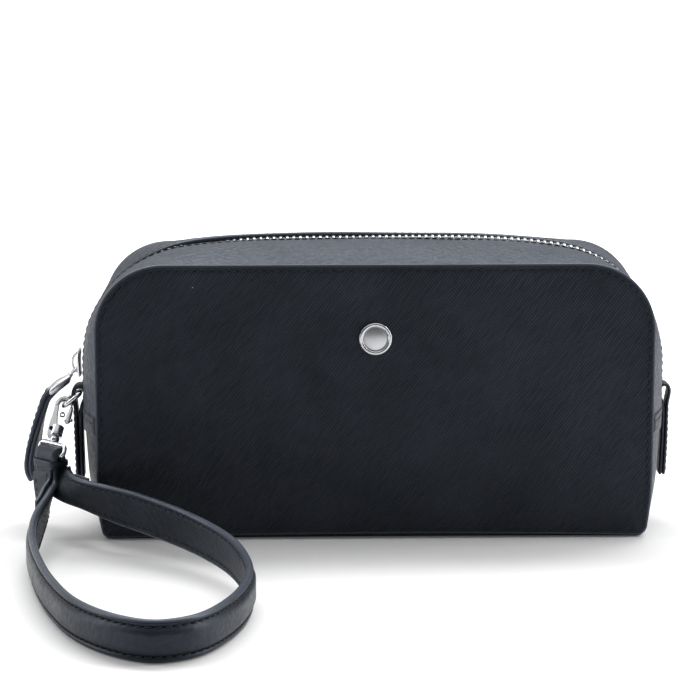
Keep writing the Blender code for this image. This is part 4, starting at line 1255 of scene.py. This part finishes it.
def build_tab(mirror, label):
    """Leather tab folded over on itself: an eye above, two sewn layers hanging below."""
    x0, z0 = TAB_EYE
    if mirror > 0:
        points = [(103.9, 16.6), (104.2, 24.0), (104.45, 33.0), (104.5, 40.5), (104.0, 43.6),
                  (103.3, 45.8), (103.0, 47.9), (103.5, 49.3), (x0, z0 + 1.95), (106.1, 49.3),
                  (106.6, 47.9), (106.4, 45.8), (105.95, 43.4), (105.75, 40.5), (105.7, 33.0),
                  (105.45, 24.0), (105.15, 16.6)]
        thick = 1.15
    else:
        points = [(104.3, 16.6), (104.4, 24.0), (104.55, 33.0), (104.5, 40.5), (103.9, 43.6),
                  (102.85, 45.8), (102.5, 47.9), (103.2, 49.55), (x0, z0 + 2.3), (106.4, 49.55),
                  (107.1, 47.9), (106.9, 45.8), (106.5, 43.4), (106.3, 40.5), (106.2, 33.0),
                  (106.0, 24.0), (105.9, 16.6)]
        thick = 1.5
    line = np.array([(mirror * x, 0.0, z) for x, z in points])
    fine, length = curve_through(line, 0.4)
    run = np.linspace(0.0, length, len(fine))
    tangent = unit(np.gradient(fine, axis=0))
    out = np.cross(tangent, np.array((0.0, 1.0, 0.0)))
    facing = mirror
    half = 3.5

    def skin(u, v):
        over = np.where(u < 0.0, u, np.where(u > length, u - length, 0.0))
        middle = np.stack([np.interp(u, run, fine[:, k]) for k in range(3)], -1)
        direction = np.stack([np.interp(u, run, tangent[:, k]) for k in range(3)], -1)
        normal = np.stack([np.interp(u, run, out[:, k]) for k in range(3)], -1)
        to_end = np.clip(np.minimum(u, length - u), 0.0, None)
        y = (v - half) * (1.0 - 0.22 * (1.0 - ease(to_end, 0.0, 2.2)))
        side = middle + direction * over[..., None] + unit(normal) * facing * thick / 2
        return side + np.stack([0 * y, y, 0 * y], -1)

    def relief(u, v):
        edge = np.minimum(v, 2 * half - v)
        return -0.12 * bump_line(edge, 1.2, 0.3)

    piece = sheet_piece(label + "_tab_loop", skin, length, 2 * half, thick,
                        [SMALL_LEATHER, DARK_EDGE], spacing=(0.9, 0.9), facing=facing,
                        relief=relief, marks=(1.2, 2 * half - 1.2))
    rides(piece, "pouch", (label + "_tab",))
    for side, v in (("front", 1.2), ("back", 2 * half - 1.2)):
        u = even_places(length - 24.0, length - 2.4, 2.4)
        thread = stitches(label + "_tab_stitches_" + side, skin, u, np.full(len(u), v), [THREAD],
                          facing=facing, lift=-0.04)
        rides(thread, "pouch")


def build_ring():
    """D-ring through the left tab's eye, with rounded corners."""
    eye = np.array((-TAB_EYE[0], 0.0, TAB_EYE[1]))
    out = unit(HOOK_AT * (1, 0, 1) - eye)
    across = np.array((0.0, 1.0, 0.0))
    half, length = 5.5, 7.5
    corners = [(-half + 1.6, 0.0), (0.0, 0.0), (half - 1.6, 0.0), (half - 0.3, 0.5), (half, 1.6),
               (half, 4.6), (half - 0.7, 6.6), (half - 2.4, length), (0.0, length),
               (-half + 2.4, length), (-half + 0.7, 6.6), (-half, 4.6), (-half, 1.6), (-half + 0.3, 0.5)]
    line = [eye + across * y + out * s for y, s in corners]
    line, _ = curve_through(line, 0.7, ring=True)
    through = np.cross(across, out)
    ring = bar_piece("d_ring", line, through, 0.88, 0.88, [BRIGHT_METAL], ring=True, sides=18)
    rides(ring, "ring", ("tab_ring",))


# ---------------------------------------------------------------- clasp

DOWN = unit(BAR_AT - HOOK_AT)
THROUGH = unit(np.array((0.0, 1.0, 0.0)) - DOWN * DOWN[1])
RIGHT = np.cross(DOWN, THROUGH)


def clasp_point(right, down, through=0.0):
    """A point given by its distances from the clasp's top: right, down and through."""
    right, down, through = (np.asarray(a, float)[..., None] for a in (right, down, through))
    return HOOK_AT + RIGHT * right + DOWN * down + THROUGH * through


def plate_piece(name, outline, through, half, rounding, finishes):
    """A flat plate with rounded edges, from a closed outline around its own middle.

    Rings of the outline, drawn in by rounding * (1 - sin a) at height half - rounding *
    (1 - cos a), run over both edges; smaller copies of the ring fill the two flat faces.
    """
    outline = np.asarray(outline, float)
    middle = outline.mean(axis=0)
    along = unit(np.roll(outline, -1, axis=0) - np.roll(outline, 1, axis=0))
    inward = np.cross(along, through)
    inward = inward * np.sign(np.sum(inward * (middle - outline)))
    flat = outline + inward * rounding
    steps = [(middle + (flat - middle) * shrink, half) for shrink in (0.06, 0.4, 0.75)]
    for turn in np.radians((0.0, 25.0, 50.0, 75.0, 90.0)):
        steps.append((outline + inward * rounding * (1.0 - math.sin(turn)),
                      half - rounding * (1.0 - math.cos(turn))))
    rings = [loop + through * level for loop, level in steps]
    rings += [loop - through * level for loop, level in steps[::-1]]
    return loft_piece(name, rings, finishes, crease=30.0)


def clasp_bar(name, line, spacing, half_wide, square, sides):
    """A bar in the clasp's plane through (right, down, half thickness), blunt at both ends."""
    flat = np.array([(*clasp_point(right, down), thick) for right, down, thick in line])
    fine, _ = curve_through(flat, spacing)
    index = np.arange(len(fine))
    ends = np.minimum(1.0, np.sqrt(np.minimum(index, index[::-1]) / 3.0 + 0.02))
    return bar_piece(name, fine[:, :3], THROUGH, half_wide * ends, fine[:, 3] * ends,
                     [BRIGHT_METAL], sides=sides, square=square)


def build_clasp():
    """Trigger clasp: a flat hook with a barrel, a sprung gate on its pin, and a swivel ring."""
    corners = [(-3.2, -0.7), (-2.7, -1.5), (-2.0, -1.5), (-1.6, 0.4), (-1.4, 2.4), (-1.0, 5.0),
               (-0.4, 7.4), (0.1, 9.3), (0.2, 11.4), (0.1, 12.6), (-0.7, 13.2), (-1.8, 13.1),
               (-2.9, 11.9), (-3.4, 10.0), (-3.5, 7.6), (-3.3, 4.6), (-3.3, 2.0)]
    body, _ = curve_through([clasp_point(r, d) for r, d in corners], 0.35, ring=True)
    plate = plate_piece("hook_plate", body, THROUGH, 1.15, 0.3, [BRIGHT_METAL])
    rides(plate, "clasp")
    # The notch is a thin near-black plate on the hook's face: painted shade standing in for an opening.
    slot = [clasp_point(r, d, -1.16) for r, d in ((-2.8, 9.0), (-1.6, 9.0), (-1.6, 10.2), (-2.8, 10.2))]
    window, _ = curve_through(slot, 0.3, ring=True)
    notch_shade = plate_piece("hook_plate_notch_painted_shade", window, THROUGH, 0.06, 0.02, [BLACK_THREAD_AND_SHADE])
    rides(notch_shade, "clasp")
    line = [(-2.5, 1.6, 0.85), (-2.4, -0.4, 0.80), (-1.7, -2.1, 0.75), (-0.2, -3.0, 0.80),
            (1.4, -2.45, 0.80), (2.45, -1.4, 0.75), (2.75, -0.7, 0.60)]
    hook = clasp_bar("hook_body", line, 0.35, 1.2, square=3.6, sides=24)
    rides(hook, "clasp", ("clasp_hook",))
    profile = [(0.9, 7.7), (1.9, 7.8), (2.2, 8.1), (2.2, 10.6), (2.0, 10.75), (2.2, 10.9), (2.2, 11.6),
               (2.0, 11.95), (1.3, 12.0), (1.2, 11.2)]
    barrel = turned_piece("hook_barrel", profile, HOOK_AT, DOWN, [BRIGHT_METAL])
    rides(barrel, "clasp")

    gate_line = [(2.5, 6.3, 0.8), (2.55, 5.0, 1.15), (2.65, 3.2, 1.0), (2.8, 1.2, 0.75),
                 (2.75, -0.9, 0.5)]
    gate = clasp_bar("gate_lever", gate_line, 0.3, 0.95, square=3.2, sides=20)
    rides(gate, "gate", ("clasp_gate",))
    thumb = clasp_point(np.linspace(3.1, 4.3, 9), np.linspace(4.9, 4.1, 9))
    knob = bar_piece("gate_thumb_piece", thumb, THROUGH, 0.9 * round_ends(9, 2.0),
                     0.55 * round_ends(9, 2.0), [BRIGHT_METAL], square=3.0)
    rides(knob, "gate")
    ends = [(0.02, -1.35), (0.5, -1.33), (0.62, -1.2), (0.42, -1.1), (0.42, 1.1), (0.62, 1.2),
            (0.5, 1.33), (0.02, 1.35)]
    pin = turned_piece("gate_pin", ends, clasp_point(2.6, 5.0), THROUGH, [BRIGHT_METAL], sides=24)
    rides(pin, "clasp", ("clasp_gate_pin",))
    turn = np.linspace(0.0, 3 * 2 * np.pi, 110)
    coil = clasp_point(0.3 + 0.8 * np.cos(turn), 3.2 + 0.8 * np.sin(turn), np.linspace(-0.8, 0.8, 110))
    spring = bar_piece("gate_spring", coil, THROUGH, 0.16, 0.16, [SPRING_METAL], sides=8)
    rides(spring, "clasp", ("clasp_spring",))

    reach = float(np.linalg.norm(BAR_AT - HOOK_AT))
    apex = HOOK_AT + DOWN * (reach - 3.9)
    half = ROOT_WIDTH / 2 + 1.7
    corners = [apex - BAR_AXIS * (half - 2.2), apex - BAR_AXIS * 2.2, apex + BAR_AXIS * 2.2,
               apex + BAR_AXIS * (half - 2.2), apex + BAR_AXIS * (half - 0.4) + DOWN * 0.5,
               apex + BAR_AXIS * half + DOWN * 1.8, BAR_AT + BAR_AXIS * half - DOWN * 1.4,
               BAR_AT + BAR_AXIS * (half - 0.4) - DOWN * 0.2, BAR_AT + BAR_AXIS * (half - 1.6),
               BAR_AT, BAR_AT - BAR_AXIS * (half - 1.6), BAR_AT - BAR_AXIS * (half - 0.4) - DOWN * 0.2,
               BAR_AT - BAR_AXIS * half - DOWN * 1.4, apex - BAR_AXIS * half + DOWN * 1.8,
               apex - BAR_AXIS * (half - 0.4) + DOWN * 0.5]
    line, _ = curve_through(corners, 0.8, ring=True)
    bow = bar_piece("swivel_bow", line, np.cross(BAR_AXIS, DOWN), 0.8, 0.8, [BRIGHT_METAL], ring=True,
                    sides=18)
    rides(bow, "swivel", ("clasp_swivel",))
    post = [(0.02, 8.5), (1.1, 8.55), (1.35, 8.8), (1.35, 9.3), (0.8, 9.5), (0.8, 12.2), (1.5, 12.3),
            (1.65, 12.6), (1.65, reach - 5.0), (1.2, reach - 4.4), (0.02, reach - 4.3)]
    stem = turned_piece("swivel_post", post, HOOK_AT, DOWN, [BRIGHT_METAL], sides=36)
    rides(stem, "swivel")


# ---------------------------------------------------------------- wrist strap

def strap_route():
    """Rows of (point, width direction, thickness) round the strap's closed route.

    It rolls over the bar, drops through the keeper, turns on edge and lies in a loop on the
    ground in front of the pouch.
    """
    beside = np.array((-BAR_AXIS[1], BAR_AXIS[0], 0.0))
    up = np.array((0.0, 0.0, 1.0))
    roll = 0.9 + 0.3 + ROLL_THICK / 2
    lying = STRAP_WIDTH / 2 + 0.05
    left_leg = ((-115.4, -18.0, 19.4), (-114.6, -21.5, 16.0), (-114.9, -28.0, 13.6),
                (-116.7, -40.0, 9.8), (-117.4, -55.0, 7.5), (-115.8, -74.0, lying),
                (-111.5, -98.0, lying), (-105.3, -122.0, lying), (-96.5, -145.0, lying),
                (-84.5, -161.5, lying))
    far_end = ((-71.0, -169.3, lying), (-58.2, -163.5, lying), (-48.6, -145.0, lying),
               (-43.8, -124.0, 7.0), (-43.6, -106.0, 7.8))
    right_leg = ((-49.5, -85.0, 9.9), (-62.0, -66.0, 12.2), (-78.0, -51.5, 14.9),
                 (-93.0, -40.5, 17.0), (-103.0, -32.2, 18.3), (-108.9, -24.6, 18.8),
                 (-112.3, -17.4, 20.2))
    right_turn = (1.0, 1.0, 0.97, 0.80, 0.50, 0.28, 0.12)
    rows = [(*(BAR_AT - beside * roll - up * 5.0), *BAR_AXIS, ROLL_THICK)]
    for index, point in enumerate(left_leg):
        share = min(1.0, (index + 1) / 4.0)
        rows.append((*point, *(BAR_AXIS * (1 - share) + up * share), STRAP_THICK))
    rows += [(*point, *up, STRAP_THICK) for point in far_end]
    for index, point in enumerate(right_leg):
        share = right_turn[index]
        rows.append((*point, *(BAR_AXIS * (1 - share) + up * share), STRAP_THICK))
    rows.append((*(BAR_AT + beside * roll - up * 5.0), *BAR_AXIS, ROLL_THICK))
    for angle in np.radians((180, 150, 120, 90, 60, 30, 0)):
        point = BAR_AT - beside * roll * math.cos(angle) + up * roll * math.sin(angle)
        rows.append((*point, *BAR_AXIS, ROLL_THICK))
    return np.array(rows)


def build_strap():
    """The strap: a closed band with a padded middle on its outer face, sewn near both edges."""
    fine, length = curve_through(strap_route(), 0.5, ring=True)
    count = len(fine)
    run = np.arange(count + 1) / count * length
    centre, thick = fine[:, :3], fine[:, 6]
    tangent = unit(np.roll(centre, -1, axis=0) - np.roll(centre, 1, axis=0))
    width = fine[:, 3:6]
    width = unit(width - tangent * np.sum(width * tangent, axis=1)[:, None])
    outward = np.cross(tangent, width)
    # facing is 1 if outward points away from the loop's middle, else -1
    from_middle = centre - centre.mean(axis=0)
    facing = float(np.sign(np.mean(np.sum(outward * from_middle, axis=1))))
    table = np.concatenate([centre, width, outward * facing, thick[:, None]], axis=1)
    table = np.concatenate([table, table[:1]])
    half = STRAP_WIDTH / 2

    def read(u):
        """Middle point, width direction, outward direction and thickness along the strap."""
        u = np.mod(u, length)
        return np.stack([np.interp(u, run, table[:, k]) for k in range(table.shape[1])], -1)

    def skin(u, v, lift=0.5):
        """A face of the strap, this share of its thickness out from the middle line."""
        row = read(u)
        return row[..., :3] + row[..., 3:6] * ((v - half) * narrowing(u))[..., None] \
            + row[..., 6:9] * (lift * row[..., 9])[..., None]

    def narrowing(u):
        """1 along the loop, easing to ROOT_WIDTH / STRAP_WIDTH near the roll."""
        run_in = np.mod(u, length)
        near = ROOT_WIDTH / STRAP_WIDTH
        share = ease(run_in, 14.0, 46.0) * (1.0 - ease(run_in, length - 66.0, length - 32.0))
        return near + (1.0 - near) * share

    def padding(u, v):
        """A soft raised middle between the two rows of stitches, flat near the roll."""
        to_roll = np.minimum(u, length - u)
        pad = ease(np.minimum(v, STRAP_WIDTH - v), 2.3, 4.0)
        groove = bump_line(np.minimum(v, STRAP_WIDTH - v), STITCH_INSET, 0.4)
        return (0.80 * pad - 0.36 * groove) * ease(to_roll, 24.0, 42.0)

    def back(u, v):
        """A groove under each row of stitches."""
        return -0.22 * bump_line(np.minimum(v, STRAP_WIDTH - v), STITCH_INSET, 0.4)

    def outer(u, v):
        return skin(u, v, 0.5)

    strap = sheet_piece("wrist_strap_band", outer, length, STRAP_WIDTH, STRAP_THICK * 0.98,
                        [STRAP_SMOOTH, EDGE_PAINT_AND_HIGHLIGHT, STRAP_PRINT], spacing=(1.0, 1.0), ring=True,
                        facing=facing, relief=padding, under=back,
                        marks=(STITCH_INSET, STRAP_WIDTH - STITCH_INSET))
    rides(strap, "strap", ("wrist_strap",))
    for label, v in (("lower", STITCH_INSET), ("upper", STRAP_WIDTH - STITCH_INSET)):
        u = even_places(16.0, length - 18.0, 2.9)
        rows = np.full(len(u), v)
        outside = stitches("strap_outer_stitches_" + label, outer, u, rows, [THREAD], facing=facing,
                           lift=-0.08)
        inside = stitches("strap_inner_stitches_" + label,
                          lambda a, b: skin(a, b, -0.48), u, rows, [THREAD], facing=-facing, lift=-0.06)
        # Needle holes: near-black discs between the stitches, painted shade in the holes.
        holes = stitches("strap_needle_hole_shade_" + label, outer, between(u), rows[1:], [BLACK_THREAD_AND_SHADE],
                         facing=facing, lift=-0.20, shape=hole_shape())
        rides(outside, "strap")
        rides(inside, "strap")
        rides(holes, "strap")

    for label, first, last in (("left", 0.6, 24.0), ("right", length - 42.0, length - 17.4)):
        span = last - first

        def turned_end(u, v, first=first, span=span):
            """The strap's end turned back over its outer face, slightly proud in the middle."""
            share = np.clip(u / span, 0.0, 1.0)
            gap = 0.15 + 0.55 * np.sin(share * np.pi) ** 2
            row = read(u + first)
            offset = 0.5 * row[..., 9] + gap + 1.3
            wide = row[..., 3:6] * ((v - half) * narrowing(u + first))[..., None]
            return row[..., :3] + wide + row[..., 6:9] * offset[..., None]

        layer = sheet_piece("strap_turned_end_" + label, turned_end, span, STRAP_WIDTH, 1.3,
                            [STRAP_SMOOTH, EDGE_PAINT_AND_HIGHLIGHT], spacing=(1.0, 1.2), facing=facing)
        rides(layer, "strap")
        u = even_places(3.0, span - 3.0, 2.7)
        for edge, v in (("lower", 2.4), ("upper", STRAP_WIDTH - 2.4)):
            thread = stitches("strap_end_stitches_" + label + "_" + edge, turned_end, u,
                              np.full(len(u), v), [THREAD], facing=facing, lift=-0.04)
            rides(thread, "strap")

    roll = 0.9 + 0.3 + ROLL_THICK / 2
    inner_x, inner_y = roll + ROLL_THICK / 2 + 0.7, ROOT_WIDTH / 2 + 0.6
    turn = np.linspace(0.0, 2 * np.pi, 72, endpoint=False)
    section = loop_section(72, 5.0)
    beside = np.array((-BAR_AXIS[1], BAR_AXIS[0], 0.0))
    centre = BAR_AT - np.array((0.0, 0.0, 2.9))
    line = centre + beside * (section[:, 0] * inner_x)[:, None]
    line = line + BAR_AXIS * (section[:, 1] * inner_y)[:, None]
    swell = 1.0 + 0.10 * np.cos(2 * turn)
    keeper = bar_piece("keeper_band", line, (0.0, 0.0, 1.0), swell, 0.4, [SMALL_LEATHER], ring=True,
                       sides=18, square=3.5)
    rides(keeper, "strap", ("strap_keeper",))


# ---------------------------------------------------------------- floor, light and camera

def build_stage():
    """Plain pale floor, a bright backdrop and soft studio light, and the camera."""
    size = 4.0
    mesh = bpy.data.meshes.new("floor")
    corners = [(-size, -size, 0.0), (size, -size, 0.0), (size, size, 0.0), (-size, size, 0.0)]
    mesh.from_pydata([(x, y, -0.0001) for x, y, _ in corners], [], [(0, 1, 2, 3)])
    floor = bpy.data.objects.new("floor", mesh)
    bpy.context.scene.collection.objects.link(floor)
    paint = bpy.data.materials.new("pale_floor")
    paint.use_nodes = True
    shader = paint.node_tree.nodes["Principled BSDF"]
    shader.inputs["Base Color"].default_value = (0.93, 0.93, 0.93, 1.0)
    shader.inputs["Roughness"].default_value = 0.6
    shader.inputs["Specular IOR Level"].default_value = 0.2
    tree = paint.node_tree
    place = new_node(tree, "ShaderNodeTexCoord").outputs["Object"]
    away = new_node(tree, "ShaderNodeVectorMath", {0: place}, operation="LENGTH").outputs["Value"]
    seen = new_node(tree, "ShaderNodeLightPath").outputs["Is Camera Ray"]
    glow = calc(tree, "MULTIPLY", spread(tree, away, 0.16, 0.90, 0.06, 1.0), seen)
    tree.links.new(glow, shader.inputs["Emission Strength"])
    shader.inputs["Emission Color"].default_value = (1.0, 1.0, 1.0, 1.0)
    mesh.materials.append(paint)

    world = bpy.data.worlds.new("studio")
    bpy.context.scene.world = world
    world.use_nodes = True
    tree = world.node_tree
    tree.nodes.clear()
    way = new_node(tree, "ShaderNodeTexCoord").outputs["Generated"]
    parts = new_node(tree, "ShaderNodeSeparateXYZ", {"Vector": way})
    behind = spread(tree, parts.outputs["Y"], -0.35, 0.75, 0.05, 0.56)
    above = spread(tree, parts.outputs["Z"], 0.42, 0.85, 0.0, 1.0)
    rays = new_node(tree, "ShaderNodeLightPath")
    mirrored = calc(tree, "MULTIPLY_ADD", rays.outputs["Is Glossy Ray"], 0.75, 0.12)
    level = calc(tree, "MULTIPLY_ADD", above, mirrored, behind)
    seen = rays.outputs["Is Camera Ray"]
    soft = new_node(tree, "ShaderNodeBackground", {"Color": (1.0, 1.0, 1.0, 1.0), "Strength": level})
    white = new_node(tree, "ShaderNodeBackground", {"Color": (1.0, 1.0, 1.0, 1.0), "Strength": 1.0})
    both = new_node(tree, "ShaderNodeMixShader", {0: seen, 1: soft.outputs[0], 2: white.outputs[0]})
    end = new_node(tree, "ShaderNodeOutputWorld")
    tree.links.new(both.outputs[0], end.inputs["Surface"])

    lamps = (("softbox_above", (0.05, 0.34, 0.92), (0.0, 0.0, 0.0), 1.3, 0.30, 11.5),
             ("softbox_left", (-0.95, 0.02, 0.40), (0.0, -0.02, 0.05), 0.3, 0.9, 4.0),
             ("softbox_right", (0.95, -0.04, 0.40), (0.0, 0.0, 0.05), 0.4, 0.9, 8.0))
    for name, place, target, wide, high, power in lamps:
        lamp = bpy.data.lights.new(name, "AREA")
        lamp.shape = "RECTANGLE"
        lamp.size, lamp.size_y = wide, high
        lamp.energy = power
        made = bpy.data.objects.new(name, lamp)
        made.location = place
        made.rotation_euler = (Vector(target) - Vector(place)).to_track_quat("-Z", "Y").to_euler()
        bpy.context.scene.collection.objects.link(made)

    lens = bpy.data.cameras.new("camera")
    lens.sensor_width = 36.0
    lens.lens = 134.97
    camera = bpy.data.objects.new("camera", lens)
    camera.location = (-0.0313, -0.92296, 0.24029)
    camera.rotation_euler = (math.radians(90.0 - 10.902), 0.0, math.radians(-1.438))
    bpy.context.scene.collection.objects.link(camera)
    bpy.context.scene.camera = camera
    bpy.context.scene.view_settings.view_transform = "Standard"


for panel_side, panel_label in ((-1, "front"), (1, "back")):
    build_panel(panel_side, panel_label)
    build_gusset_strip(panel_side, panel_label)
    build_zip_half(panel_side, panel_label)
build_side_patches()
build_linings()
build_base_board()
build_badge()
build_bottom_stop()
build_slider()
build_puller()
build_tab(-1, "left")
build_tab(1, "right")
build_ring()
build_clasp()
build_strap()
build_stage()
